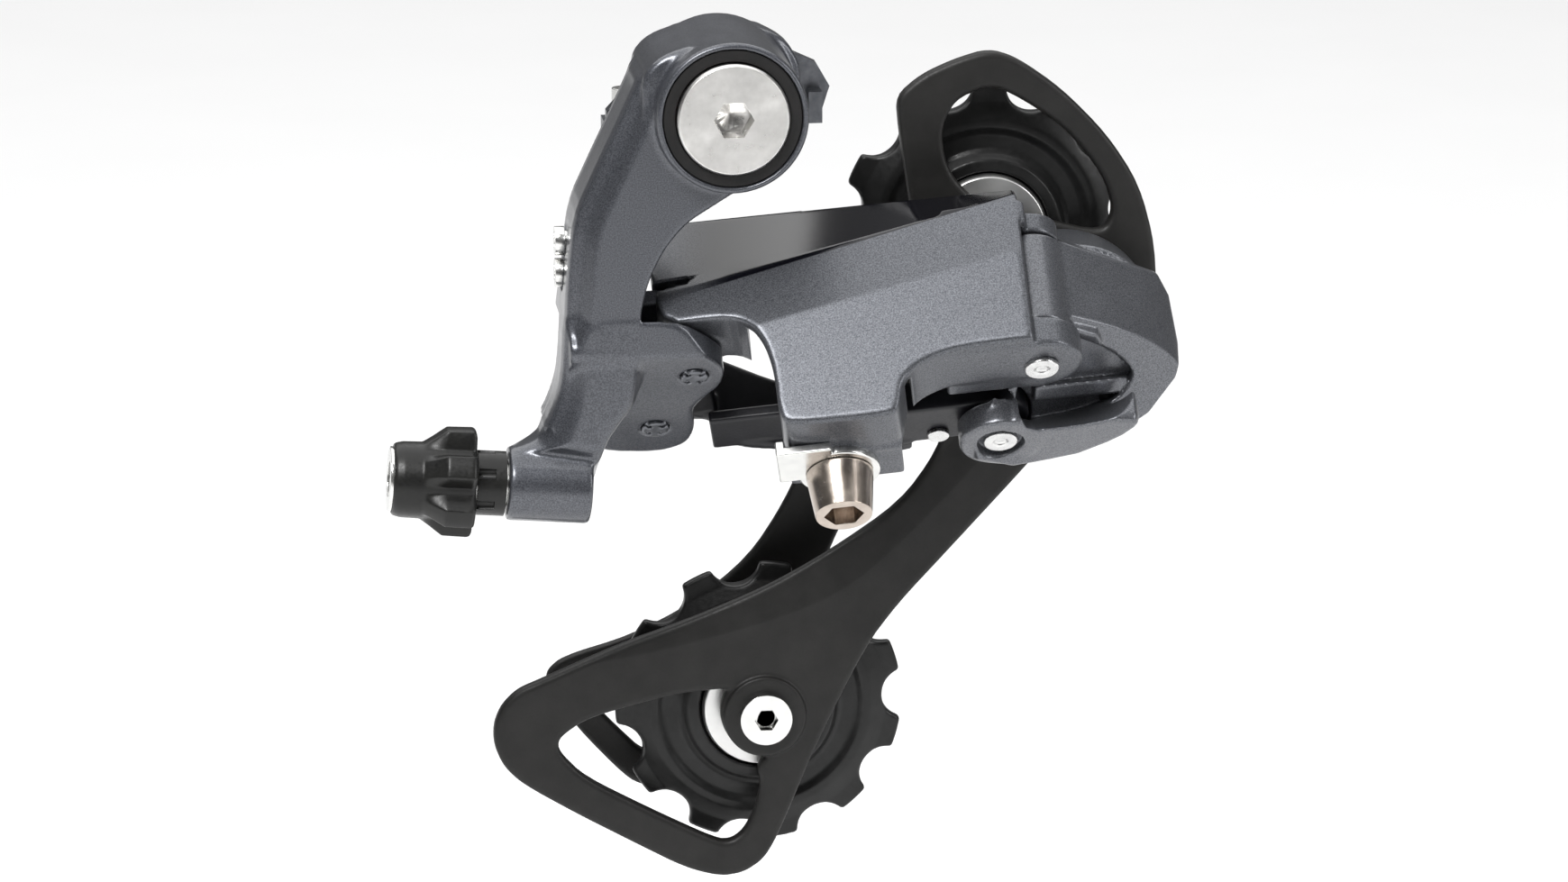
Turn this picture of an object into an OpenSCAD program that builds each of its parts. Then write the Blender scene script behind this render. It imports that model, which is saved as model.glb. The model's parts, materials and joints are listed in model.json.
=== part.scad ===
// Rear derailleur, medium cage, 8-speed class. Millimetres, +Z up, +X forward, +Y inboard.
// The origin is the mounting bolt axis at the outer face of the hanger.

/* [Mounting bolt] */
// Radius of the M10 x 1 thread on the mounting bolt
mount_r = 5; // [4.5:0.05:5.5]
// Radius of the bolt's plain shoulder, which seats on the hanger
shoulder_r = 5.3; // [5.2:0.05:5.6]
// Length of thread that goes into the hanger
mount_len = 9.5; // [7:0.5:11]
// Radius of the bolt head
bolt_head_r = 8.1; // [7:0.1:9]
// Outer radius of the bracket housing round the bolt
housing_r = 10.9; // [10:0.1:13]
// Outboard face of the bracket housing
housing_front = -26; // [-32:0.5:-22]

/* [Parallelogram] */
// Tilt of the four link pins from vertical, in degrees
pin_tilt = 45; // [35:1:55]
// Distance between the pins of one link, along and across at rest
link_dx = 49.2; // [44:0.1:54]
// How far the link leans outboard at rest, over its length
link_dy = -8; // [-14:0.5:0]
// Swing of the links from the smallest to the largest sprocket
swing = 60; // [50:1:64]
// Radius of the four link pins
pin_r = 2; // [1.6:0.1:2.5]

/* [Cage] */
// Chain pitch, which sets the pulley teeth
pitch = 12.7; // [12.7:0.1:12.7]
// Teeth on each pulley
teeth = 11; // [10:1:13]
// Outboard face of the outer cage plate
cage_y = 1.6; // [1:0.1:4]
// Thickness of the outer cage plate
outer_t = 2.5; // [2:0.1:3.5]
// Thickness of the inner cage plate
inner_t = 1.7; // [1.2:0.1:2.5]
// Inside width between the cage plates
cage_gap = 11.3; // [10:0.1:12.5]
// Distance from the guide pulley to the tension pulley, down
cage_drop = 72.3; // [60:0.1:90]

/* [Adjuster] */
// Radius of the cable adjuster's stem
stem_r = 3; // [2.5:0.1:3.5]
// Radius over the lobes of the adjuster knob
knob_r = 8; // [7:0.1:9]

/* [Hidden] */
$fn = 96;
run = 0.05;
link_len = sqrt(link_dx * link_dx + link_dy * link_dy);
link_ang = atan2(link_dy, link_dx);
a1 = [-4.9, 14.7];
a2 = [-9.6, 29.1];
b1 = [a1[0] + link_dx, a1[1] + link_dy];
b2 = [a2[0] + link_dx, a2[1] + link_dy];
pivot = [51.5, -37.5];
guide = [41.6, -25.1];
tension = [7.7, guide[1] - cage_drop];
pulley_y = cage_y + outer_t + cage_gap / 2;
inner_y = cage_y + outer_t + cage_gap;
root_r = pitch / 2 / sin(180 / teeth) - 3.87;
chamber_y = -8.5;
stop_pin = pivot + 16.2 * [cos(-100), sin(-100)];

// ---- frames ----

// Pins run along local +Z; local +X stays forward and local +Y points inboard and down.
module linkage() rotate([-pin_tilt, 0, 0]) children();

// Outer link frame: +X along the link from its bracket pin, +Y to the inboard side.
module outer_frame() linkage() translate([a1[0], a1[1], 0]) rotate([0, 0, link_ang]) children();

// Inner link frame, the same but from the inner bracket pin.
module inner_frame() linkage() translate([a2[0], a2[1], 0]) rotate([0, 0, link_ang]) children();

// A cylinder along +Y from y0 to y1 at x, z.
module bar_y(x, z, y0, y1, r) translate([x, y0, z]) rotate([-90, 0, 0]) cylinder(h = y1 - y0, r = r);

// A flat outline in X and Z, thick from y0 to y1.
module slab(y0, y1) translate([0, y1, 0]) rotate([90, 0, 0]) linear_extrude(y1 - y0) children();

// A cylinder along a link pin, from z0 to z1.
module post(p, z0, z1, r) translate([p[0], p[1], z0]) cylinder(h = z1 - z0, r = r);

// The adjuster frame: +Z runs out of the boss towards the rear.
module adjuster() translate([-32.2, -18, -54.6]) rotate([0, -85.5, 0]) children();

// A round-wire torsion spring body made of closed rings, with two straight legs.
module coil(r, wire, turns, step) {
  for (i = [0 : turns - 1])
    translate([0, 0, i * step])
      rotate_extrude() translate([r, 0]) circle(r = wire / 2, $fn = 24);
  for (i = [0 : turns - 2])
    rotate([0, 0, i * 50]) translate([r, 0, i * step]) cylinder(h = step, r = wire * 0.4, $fn = 24);
}

// A hexagonal socket of a given key size, opening at z = 0 and going down.
module hex_socket(key, depth) {
  translate([0, 0, -depth]) cylinder(h = depth + 0.5, r = key / sqrt(3), $fn = 6);
  translate([0, 0, -depth - key / 5]) cylinder(h = key / 5 + 0.01, r1 = 0.2, r2 = key / 2 - 0.05);
}

// ---- mounting bolt group ----

module b_bolt() color("silver") difference() {
  union() {
    bar_y(0, 0, -27, -24.2, bolt_head_r);
    bar_y(0, 0, -24.3, 0, shoulder_r);
    bar_y(0, 0, -0.5, mount_len - 1, mount_r);
    translate([0, mount_len - 1, 0]) rotate([-90, 0, 0]) cylinder(h = 1, r1 = mount_r, r2 = mount_r - 0.8);
  }
  translate([0, -27, 0]) rotate([90, 0, 0]) hex_socket(5, 4);
  // groove for the retaining ring
  rotate([-90, 0, 0]) translate([0, 0, -3.4]) difference() {
    cylinder(h = 0.9, r = mount_r + 1);
    translate([0, 0, -1]) cylinder(h = 3, r = 4.4);
  }
  // chamfer round the head
  translate([0, -27, 0]) rotate([-90, 0, 0]) difference() {
    translate([0, 0, -1]) cylinder(h = 1.5, r = bolt_head_r + 1);
    translate([0, 0, -1.01]) cylinder(h = 1.6, r1 = bolt_head_r - 1.1, r2 = bolt_head_r + 0.1);
  }
}

module stop_plate() color("dimgray") difference() {
  union() {
    slab(-2.2, 0) difference() {
      union() {
        circle(r = 9.8);
        polygon([[-15.8, -8.5], [-15.8, -3.5], [-8, 5], [-2, -9]]);
        polygon([[4, 8], [14.8, 3], [16.8, -0.5], [15.2, -5.5], [4, -9]]);
      }
      circle(r = shoulder_r);
    }
    // rear ear that carries the tension screw
    translate([-15.8, -0.6, -8.5]) cube([5.8, 7.6, 2.6]);
    // forward tab
    translate([13.4, -5, -5.4]) cube([2, 5, 4.6]);
  }
  translate([-12.9, 3.6, -20]) cylinder(h = 20, r = 1.6 + run);
}

module b_tension_screw() color("silver") translate([-12.9, 3.6, 0]) difference() {
  union() {
    translate([0, 0, -12.8]) cylinder(h = 11.6, r = 1.6);
    translate([0, 0, -14.1]) cylinder(h = 1.4, r = 2.7);
  }
  for (a = [0, 90])
    rotate([0, 0, a]) translate([-1.6, -0.35, -14.2]) cube([3.2, 0.7, 1]);
}

module b_retaining_ring() color("gray")
  translate([0, -3.3, 0]) rotate([-90, 0, 0]) difference() {
    cylinder(h = 0.7, r = 6.6);
    translate([0, 0, -1]) cylinder(h = 3, r = 4.45);
    translate([0, -1.8, -1]) cube([9, 3.6, 3]);
  }

// ---- bracket body group ----

module neck_outline() difference() {
  polygon([
    [-10.2, 3.8], [-12.6, 5.4], [-13.8, 2.4], [-19.1, -8.8], [-22.2, -15.5], [-23.2, -25], [-23.6, -36],
    [-24.2, -41.5], [-26.6, -47.3], [-31.4, -50.4], [-31.6, -54], [-19.2, -56], [-18.6, -50],
    [-17, -46], [-13.1, -42], [-13.1, -29.6], [-12, -24.6], [-9.6, -19.6],
    [-6.4, -15.8], [-2.2, -13.2], [2, -10.6], [0, 0]
  ]);
  circle(r = 8);
}

module lug_plan() polygon([
  [-23, 5], [-7.9, 5], [-2.6, 10], [-0.5, 13.2], [-0.8, 17.4], [-2.6, 20.3], [-4.6, 24.1],
  [-3.6, 29.5], [-4.6, 34.2], [-8.8, 36.4], [-17.3, 35.6], [-21, 31], [-23, 24]
]);

module bracket_shell() {
  // housing round the mounting bolt, with its rear rib
  bar_y(0, 0, housing_front, -2.6, housing_r);
  slab(-22, -3.5) polygon([[-12.8, 5.2], [-10, 8.4], [-4, 10.2], [0, 0], [-12, -3]]);
  slab(-6.5, -2.6) polygon([[4, 9.9], [9.6, 7.8], [12.4, 3.2], [11.4, -3.4], [4, -9]]);
  // neck and lower front, cut off by the underside of the lugs
  intersection() {
    slab(-22.5, -7) neck_outline();
    linkage() translate([-60, -60, -41]) cube([120, 120, 60]);
  }
  // spine beside the links
  intersection() {
    linkage() translate([-23.4, 8, -41]) cube([7.9, 26, 20]);
    slab(-22.5, 12) neck_outline();
  }
  // lower lug plate, its front flush with the neck
  intersection() {
    linkage() translate([0, 0, -41]) linear_extrude(4) lug_plan();
    translate([-40, -22.5, -80]) cube([60, 60, 80]);
  }
  // upper lugs
  linkage() {
    translate([0, 0, -31.2]) linear_extrude(2.9) polygon([[-18, 11], [-5, 10.6], [-5, 18.8], [-18, 20]]);
    post(a1, -31.2, -28.3, 4.1);
    translate([0, 0, -24.7]) linear_extrude(3.2) polygon([[-22, 24.4], [-9, 24.4], [-9, 33.6], [-20, 33.6]]);
    post(a2, -24.7, -21.5, 4.6);
  }
  // arm and boss for the cable adjuster
  slab(-22, -13) polygon([
    [-23.4, -30], [-23.6, -37], [-24.4, -41.6], [-26.8, -47.4], [-31.6, -50.4], [-32.1, -51.4],
    [-31.8, -55], [-19.4, -56.4], [-19, -51], [-17, -46.4], [-13.6, -42], [-13, -32]
  ]);
  adjuster() translate([0, 0, -12.2]) cylinder(h = 12.2, r = 5.25);
}

module bracket_body() color("slategray") difference() {
  bracket_shell();
  // mounting bolt bore, seal seat, spring chamber
  bar_y(0, 0, -30, 0, 6.55);
  bar_y(0, 0, -30, -23.1, 10);
  bar_y(0, 0, -20, 0, 9.3);
  // clear space over the upper lug for the outer link, and between the lugs
  linkage() translate([a1[0], a1[1], -36.9]) cylinder(h = 5.7, r = 6.9);
  linkage() translate([a1[0], a1[1], -28.3]) cylinder(h = 22, r = 7.4);
  linkage() translate([a2[0], a2[1], -36.9]) cylinder(h = 12.2, r = 5.5);
  linkage() translate([-16.1, 21.4, -36.9]) cube([26, 20, 12.2]);
  linkage() translate([a1[0] - 7, a1[1] + 3, -36.9]) cube([20, 7, 12.2]);
  // pin holes
  linkage() post(a1, -43, -26, pin_r);
  linkage() post(a2, -43, -20, pin_r);
  // adjuster thread and cable hole
  adjuster() translate([0, 0, -9]) cylinder(h = 12, r = stem_r + run);
  adjuster() translate([0, 0, -20]) cylinder(h = 20, r = 1.2);
  // limit screw holes
  for (z = [-20.2, -24.9])
    translate([-30, -12, z]) rotate([0, 90, 0]) {
      cylinder(h = 40, r = 1.5 + run);
      cylinder(h = 7.6, r = 2.5);
    }
  // trim the far end of the arm flush with the boss face
  adjuster() translate([-12, -12, 0]) cube([24, 24, 12]);
}

module b_bush() color("goldenrod") difference() {
  bar_y(0, 0, -23.6, -3.6, 6.5);
  bar_y(0, 0, -30, 0, shoulder_r + run);
}

module b_seal_ring() color("black") difference() {
  bar_y(0, 0, -25.7, -23.6, 9.95);
  bar_y(0, 0, -30, 0, bolt_head_r + 0.1);
}

module b_spring() color("silver") translate([0, -18.7, 0]) rotate([-90, 0, 0]) coil(8, 1.8, 6, 2.5);

module limit_screw(z) color("silver") translate([-22.4, -12, z]) rotate([0, 90, 0]) difference() {
  union() {
    cylinder(h = 10.5, r = 1.5);
    translate([0, 0, -2]) cylinder(h = 1.4, r = 2.1);
    translate([0, 0, -0.7]) cylinder(h = 1, r = 1.5);
  }
  for (a = [45, 135])
    rotate([0, 0, a]) translate([-1.5, -0.3, -2.1]) cube([3, 0.6, 0.9]);
}

module limit_screw_high() limit_screw(-20.2);
module limit_screw_low() limit_screw(-24.9);

module adjuster_barrel() color("silver") adjuster() difference() {
  union() {
    translate([0, 0, -8.6]) cylinder(h = 20, r = stem_r);
    translate([0, 0, 9.5]) cylinder(h = 7, r = 4.1);
    translate([0, 0, 16.45]) cylinder(h = 0.6, r = 4.7);
  }
  translate([0, 0, -12]) cylinder(h = 30, r = 1.1);
  translate([0, 0, 9.05]) cylinder(h = 9, r = 2.6);
}

module adjuster_collar() color("black") adjuster() translate([0, 0, 0.3]) difference() {
  cylinder(h = 4.1, r = 4.7);
  for (a = [0 : 60 : 300])
    rotate([0, 0, a]) translate([4.9, 0, 1.6]) cylinder(h = 4, r = 0.9);
  translate([0, 0, -1]) cylinder(h = 9, r = stem_r + run);
}

module adjuster_knob() color("black") adjuster() difference() {
  union() {
    translate([0, 0, 4.7]) intersection() {
      cylinder(h = 4.6, r = knob_r);
      translate([0, 0, -1]) linear_extrude(8) difference() {
        circle(r = knob_r);
        for (a = [30 : 60 : 330])
          rotate(a) translate([knob_r + 1.6, 0]) circle(r = 3.2);
      }
    }
    translate([0, 0, 9.2]) rotate_extrude() polygon([
      [0, 0], [6.3, 0], [5.9, 1.4], [5.6, 3], [5.5, 6.2], [5.1, 7.6], [0, 7.6]
    ]);
  }
  translate([0, 0, 0]) cylinder(h = 9.5, r = 4.6);
  translate([0, 0, 9.3]) cylinder(h = 7.2, r = 4.1);
  translate([0, 0, 16.3]) cylinder(h = 2, r = 4.75);
}

module adjuster_spring() color("silver") adjuster() translate([0, 0, 5.3]) coil(3.9, 0.8, 4, 1.2);

// ---- links ----

// Side profile of the outer link: along the link, and up the pins.
module outer_profile() polygon([
  [-5, -36.6], [7, -36.6], [9.2, -38.6], [10.6, -41.4], [11.6, -45], [11.8, -53.4], [13, -55], [28, -55],
  [29, -54], [29.6, -49.6], [32, -47.6], [36, -46], [43, -45.5], [56, -45.5], [56, -6], [-5, -6]
]);

// Solid bounded by the link's outer faces; grow moves every face in by that much.
module outer_hull(grow) hull() {
  translate([-5 + grow * 0.6, 0, 0]) rotate([90, 0, 90]) linear_extrude(0.01) polygon([
    [-8.5 + grow, -56], [-9 + grow, -42], [-8.6 + grow, -33.4 - grow * 0.4],
    [3 - grow * 0.5, -11.4 - grow * 1.6], [5, -11.4 - grow * 1.6], [5, -56]
  ]);
  translate([49.2, 0, 0]) rotate([90, 0, 90]) linear_extrude(0.01) polygon([
    [-8.3 + grow, -56], [-9.2 + grow, -31], [-8.5 + grow, -21.4 - grow * 0.3],
    [3 - grow * 0.5, -13.6 - grow * 1.2], [5, -13.6 - grow * 1.2], [5, -56]
  ]);
}

module outer_link() color("darkslategray") outer_frame() difference() {
  union() {
    difference() {
      intersection() {
        outer_hull(0);
        translate([0, 20, 0]) rotate([90, 0, 0]) linear_extrude(40) outer_profile();
        translate([-6, -12, -60]) cube([55.2, 14.6, 60]);
      }
      difference() {
        outer_hull(2);
        // floors that stay: bracket end, anchor shelf, far end
        translate([-8, -12, -60]) cube([16.5, 20, 28.2]);
        translate([8.4, -12, -60]) cube([22.6, 20, 10.4]);
        translate([30.9, -12, -60]) cube([30, 20, 19]);
      }
    }
    // bracket-end eye
    translate([0, 0, -36.6]) cylinder(h = 5.1, r = 4.7);
    // anchor shelf
    translate([12.2, 2, -55]) cube([16.4, 8, 4]);
    translate([19.3, 5.6, -55]) cylinder(h = 4, r = 5.6);
    // far eyes
    translate([link_len, 0, -45.5]) cylinder(h = 4.7, r = 6);
    translate([36, -6, -45.5]) cube([link_len - 36, 11.9, 4.7]);
    translate([link_len, 0, -25.6]) cylinder(h = 3.2, r = 4.6);
    translate([38, -7.8, -25.6]) cube([link_len - 38, 11.9, 3.2]);
  }
  // space for the bracket's upper lug and its arm through the swing
  translate([0, 0, -31.4]) cylinder(h = 3.4, r = 6.2);
  for (a = [0 : 10 : swing])
    rotate([0, 0, 180 - link_ang - a]) translate([0, -5.4, -31.45]) cube([12, 10.2, 3.5]);
  // pins and anchor hole
  translate([0, 0, -60]) cylinder(h = 32.5, r = pin_r + run);
  translate([link_len, 0, -60]) cylinder(h = 38, r = pin_r);
  translate([19.3, 5.6, -60]) cylinder(h = 12, r = 2.5 + run);
}

module inner_profile() polygon([
  [0, -36.6], [8.2, -36.6], [10.6, -41.6], [14, -42.8], [32, -45.4], [44, -45.7], [55, -45.7], [55, -40.5],
  [44, -40.5], [34, -38.4], [20, -33.6], [8, -26.4], [6, -25.2], [0, -25.2]
]);

module inner_link() color("black") inner_frame() difference() {
  union() {
    // wall on the inboard side
    translate([0, 6.6, 0]) rotate([90, 0, 0]) linear_extrude(1.9) intersection() {
      inner_profile();
      translate([0, -60]) square([37, 60]);
    }
    // eyes and flanges at the bracket
    translate([0, 0, -36.6]) cylinder(h = 2.8, r = 4.6);
    translate([0, -4.6, -36.6]) cube([9, 10, 2.8]);
    translate([0, 0, -28]) cylinder(h = 2.9, r = 4.6);
    translate([0, -4.6, -28]) cube([9, 10, 2.9]);
    // far bar with its eye
    translate([link_len, 0, -45.6]) cylinder(h = 5.1, r = 4.6);
    translate([30, -4.6, -45.6]) cube([link_len - 30, 9.2, 5.1]);
    translate([30, 4, -45.6]) cube([7, 2.6, 5.1]);
    translate([8, -2.4, -42.4]) cube([24, 8, 2]);
  }
  translate([0, 0, -60]) cylinder(h = 50, r = pin_r + run);
  translate([link_len, 0, -60]) cylinder(h = 50, r = pin_r + run);
  translate([41, 2.6, -60]) cylinder(h = 50, r = 1.2);
}

module pins_a() color("silver") linkage() {
  post(a1, -41.4, -27.9, pin_r);
  post(a2, -41.4, -21.1, pin_r);
}

module rivet(p, z0, z1) {
  post(p, z0, z1, pin_r);
  translate([p[0], p[1], z0 - 0.9]) difference() {
    cylinder(h = 0.9, r = 2.5);
    translate([0, 0, -0.5]) cylinder(h = 1, r1 = 1.4, r2 = 0.8);
  }
}

module pin_b_outer() color("silver") linkage() rivet(b1, -45.5, -22.2);
module pin_b_inner() color("silver") linkage() rivet(b2, -49, -36.8);

module inner_link_rivet() color("silver") inner_frame() translate([41, 2.6, 0]) union() {
  translate([0, 0, -45.6]) cylinder(h = 5.1, r = 1.2);
  translate([0, 0, -46.3]) cylinder(h = 0.7, r = 1.6);
}

module link_spring() color("silver") linkage() translate([a2[0], a2[1], -32.9]) coil(3.9, 1.3, 3, 1.9);

module cable_clamp_plate() color("silver") outer_frame() difference() {
  union() {
    translate([19.3, 5.6, -56.4]) cylinder(h = 1.4, r = 5.9);
    translate([10.6, -1.5, -56.4]) cube([8, 8, 1.4]);
    translate([10.6, -1.5, -56.4]) cube([1.4, 8, 2.4]);
  }
  translate([19.3, 5.6, -60]) cylinder(h = 12, r = 2.6);
}

module cable_anchor_bolt() color("tan") outer_frame() translate([19.3, 5.6, 0]) difference() {
  union() {
    translate([0, 0, -57]) cylinder(h = 6.4, r = 2.5);
    translate([0, 0, -63.4]) cylinder(h = 6.9, r1 = 4.1, r2 = 4.9);
  }
  translate([0, 0, -63.4]) rotate([180, 0, 0]) hex_socket(5, 3.4);
}

// ---- pivot body ----

// Face of the pivot body that looks outboard, moved in by d.
module front_cut(d) translate([0, -48.3 + d, 0]) rotate([20, 0, 14.3])
  translate([-120, -80, -120]) cube([240, 80, 240]);

module p_outline() union() {
  translate(pivot) circle(r = 15.6);
  polygon([
    [39, -16.5], [43, -15.6], [51, -18], [59, -22.6], [64, -27.5], [66.4, -32], [67, -38], [66.2, -42.5],
    [62.5, -48], [57.5, -51.4], [50, -53.6], [42, -54.6], [36.4, -53], [36, -47.5], [38, -44]
  ]);
}

// Plan of the pivot body's front, seen along the pins.
module p_front_plan() polygon([
  [b1[0] + 0.5, b1[1] - 4.2], [50, 4.9], [56, 8.3], [61.5, 12], [65.5, 15.5], [68, 19], [70, 24], [70, 60], [30, 60],
  [33, b2[1] - 4], [b1[0], b1[1] + 2]
]);

module p_main() {
  // spring chamber
  slab(chamber_y - 1.2, 1) translate(pivot) circle(r = 14);
  // stop for the cage pin
  slab(-4.5, 0.9) translate(pivot) rotate(-117.6) translate([12, -2.6]) square([6, 5.2]);
  // cover in front of it
  intersection() {
    slab(-30, -4) p_outline();
    linkage() translate([0, 0, -56]) linear_extrude(38) p_front_plan();
    // lower front face
    difference() {
      slab(-32, 2) translate([0, -80]) square([90, 90]);
      front_cut(0);
    }
    // bevel along the top of the front facet
    linkage() translate([b1[0] + 0.5, b1[1] - 4.2, -25.6]) rotate([0, 0, 32]) rotate([42, 0, 0])
      translate([-60, -60, -60]) cube([160, 160, 60]);
  }
}

module p_body() color("slategray") difference() {
  union() {
    p_main();
    linkage() {
      // boss between the eyes of the outer link
      post(b1, -41.4, -26, 4.9);
      translate([0, 0, -41.2]) linear_extrude(15) polygon([
        [b1[0] + 1, b1[1] - 3], [50, 5.6], [54, 7.8], [54, 14], [b1[0], b1[1] + 4.4]
      ]);
      // lower lug of the inner link's pin, with its arm
      post(b2, -50, -46, 6);
      translate([0, 0, -50]) linear_extrude(4) polygon([
        [39.6, 15.1], [46, 14.8], [48, 27.1], [39.6, 27.1]
      ]);
      translate([0, 0, -49.2]) linear_extrude(4.6) polygon([
        [45.4, 14.8], [58.6, 15.2], [59.6, 17], [57, 21], [50, 26], [45.4, 27.4]
      ]);
      post(b2, -40.3, -37, 5);
    }
  }
  linkage() {
    // sweep of the outer link's roof and upper eye
    for (a = [0 : 7.5 : swing])
      translate([b1[0], b1[1], -26]) rotate([0, 0, link_ang + a]) translate([-60, -9.9, 0]) cube([59.8, 16, 40]);
    post(b1, -26, -22, 5);
    // sweep of its side wall
    for (a = [0 : 5 : swing])
      translate([b1[0], b1[1], -42]) rotate([0, 0, link_ang + a]) translate([-60, -10, 0]) cube([59.8, 3.5, 18]);
    // sweep of its lower eye
    post(b1, -60, -40.6, 6.4);
    for (a = [0 : 7.5 : swing])
      translate([b1[0], b1[1], -60]) rotate([0, 0, link_ang + a]) translate([-60, -10, 0]) cube([59.9, 16.3, 19.4]);
    // sweep of the inner link
    post(b2, -46, -40.2, 5);
    for (a = [0 : 7.5 : swing])
      translate([b2[0], b2[1], -46]) rotate([0, 0, link_ang + a]) translate([-60, -5, 0]) cube([60, 12, 5.8]);
    // pin holes, head recess
    post(b1, -60, -20, pin_r + run);
    post(b2, -60, -36.5, pin_r);
    post(b2, -60, -48.8, 3.4);
  }
  // spring chamber and axle bore
  bar_y(pivot[0], pivot[1], chamber_y, 5, 11.4);
  bar_y(pivot[0], pivot[1], -12.4, 5, 5.6);
  bar_y(pivot[0], pivot[1], -15.2, 5, 4.6);
  translate([pivot[0], -13.4, pivot[1]]) rotate([0, 150, 0]) cylinder(h = 30, r = 1.5);
  bar_y(pivot[0], pivot[1], -0.6, 5, 12.4);
  // shallow recess in the front face
  intersection() {
    front_cut(1.8);
    slab(-30, 0) polygon([[44, -31], [50, -32.6], [56, -36.6], [59.2, -41], [57, -45], [50, -47], [42, -47.4]]);
  }
}

module p_bush() color("goldenrod") difference() {
  bar_y(pivot[0], pivot[1], -12.3, chamber_y + 1.2, 5.6);
  bar_y(pivot[0], pivot[1], -30, 5, 4.55);
}

module p_axle() color("silver") difference() {
  union() {
    bar_y(pivot[0], pivot[1], -14.9, 2.2, 3.7);
    bar_y(pivot[0], pivot[1], -14.9, -14.1, 4.5);
    bar_y(pivot[0], pivot[1], -12.7, 2.2, 4.5);
    bar_y(pivot[0], pivot[1], 2, 4.1, 3.6);
  }
  bar_y(pivot[0], pivot[1], 1.5, 8, 1.6);
}

// Grub screw whose tip runs in the groove of the pivot axle.
module p_retaining_screw() color("silver") translate([pivot[0], -13.4, pivot[1]]) rotate([0, 150, 0]) difference() {
  union() {
    translate([0, 0, 3.95]) cylinder(h = 2, r = 0.6);
    translate([0, 0, 5.9]) cylinder(h = 7, r = 1.5);
  }
  translate([0, 0, 12.9]) hex_socket(1.5, 1.5);
}

module p_spring() color("silver") translate([pivot[0], chamber_y + 1.1, pivot[1]]) rotate([-90, 0, 0]) coil(9, 1.8, 3, 2.4);

module p_seal_ring() color("black") difference() {
  bar_y(pivot[0], pivot[1], -0.5, 0.9, 12.3);
  bar_y(pivot[0], pivot[1], -2, 3, 6);
}

// ---- cage ----

module outer_plate_outline() difference() {
  union() {
    // guard round the guide pulley
    polygon([
      [28.4, -13.6], [27.6, -8], [27.2, -3.4], [31, -0.2], [36, 2], [41, 3.4], [45.2, 2], [51.9, -2.8], [58.7, -9.8],
      [63.6, -17.4], [66.2, -27], [66.4, -38], [64, -46], [58, -52], [52, -54.2], [47.8, -59.2],
      [35, -73.1], [28, -80.6], [22.9, -87.4], [15.4, -102.7], [12, -111.1], [9.5, -117], [7.6, -120.2],
      [4.6, -122.2], [1, -122.7], [-4.4, -121.1], [-12.6, -116.5], [-20.7, -111.9], [-28.8, -106.9],
      [-31.6, -104], [-33, -100.6], [-33, -97.4], [-31.8, -94.6], [-29.4, -92.2], [-25.9, -90.8], [-13.7, -85.6],
      [-4.3, -82.5], [7.9, -77.7], [17.4, -72.5], [28.2, -65.2], [33.6, -57.7], [36, -50], [36, -43],
      [33, -34], [30.4, -25], [29.2, -19]
    ]);
  }
  // opening over the guide pulley
  polygon([
    [34.4, -12.5], [34, -8], [36, -4], [40.6, -2.1], [44, -3], [52, -8.2], [58.1, -15.8], [59.8, -21.3],
    [58, -24.6], [50, -22.5], [40, -20], [36, -16]
  ]);
  // opening round the tension pulley
  difference() {
    polygon([
      [-23.4, -100.9], [-22.8, -99.6], [-19.2, -97.1], [-12.4, -95.2], [-4.3, -93.4], [4, -93], [9, -97], [8.4, -103],
      [6.5, -105.5], [7.2, -108.1], [6.3, -112.3], [4.6, -115.6], [2.8, -117], [0.6, -117],
      [-9.8, -111.6], [-19.3, -106.3], [-22.8, -102.6]
    ]);
    translate([tension[0], tension[1] + 0.7]) circle(r = 6.6);
  }
}

module outer_cage_plate() color("black") difference() {
  union() {
    slab(cage_y, cage_y + outer_t) outer_plate_outline();
    bar_y(tension[0], tension[1], cage_y - 0.7, cage_y + 1, 6.2);
    bar_y(pivot[0], pivot[1], cage_y - 0.4, cage_y + 1, 8);
  }
  bar_y(tension[0], tension[1], -5, 10, 2.5);
  bar_y(guide[0], guide[1], -5, 10, 2.5);
  bar_y(pivot[0], pivot[1], -5, 10, 3.6);
  bar_y(pivot[0], pivot[1], -5, 2.2, 4.5);
  bar_y(stop_pin[0], stop_pin[1], -5, 10, 1.2);
}

module inner_plate_outline() difference() {
  polygon([
    [29.4, -24], [30.2, -18], [34, -13.4], [40, -11.4], [47, -12.4], [52.4, -17], [54.4, -24], [53, -30],
    [48, -36.4], [42, -42], [34, -51], [28, -60], [22.6, -68.9], [19.9, -74.4], [17, -82], [17.6, -92], [16, -100],
    [12, -106], [6, -109.6], [-3, -112], [-9, -112.4], [-12, -110.8], [-19.6, -102.4], [-24, -95.6], [-23.8, -93.5],
    [-21.3, -91.4], [-11, -88.5], [-2, -84], [6.9, -76.8], [12.3, -68.5], [17, -58], [24, -44], [28.4, -33]
  ]);
  difference() {
    polygon([
      [-17.9, -96.4], [-12, -93.8], [-5, -91.6], [4, -91], [8, -98], [4, -104.6], [-4, -106.8],
      [-9, -107], [-13, -103], [-17.6, -98]
    ]);
    translate(tension) circle(r = 7);
  }
}

module inner_cage_plate() color("black") difference() {
  union() {
    slab(inner_y, inner_y + inner_t) inner_plate_outline();
    bar_y(tension[0], tension[1], inner_y, inner_y + inner_t + 0.9, 5);
    bar_y(guide[0], guide[1], inner_y, inner_y + inner_t + 0.9, 5);
  }
  bar_y(tension[0], tension[1], 0, 30, 2.5);
  bar_y(guide[0], guide[1], 0, 30, 2.5);
}

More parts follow.
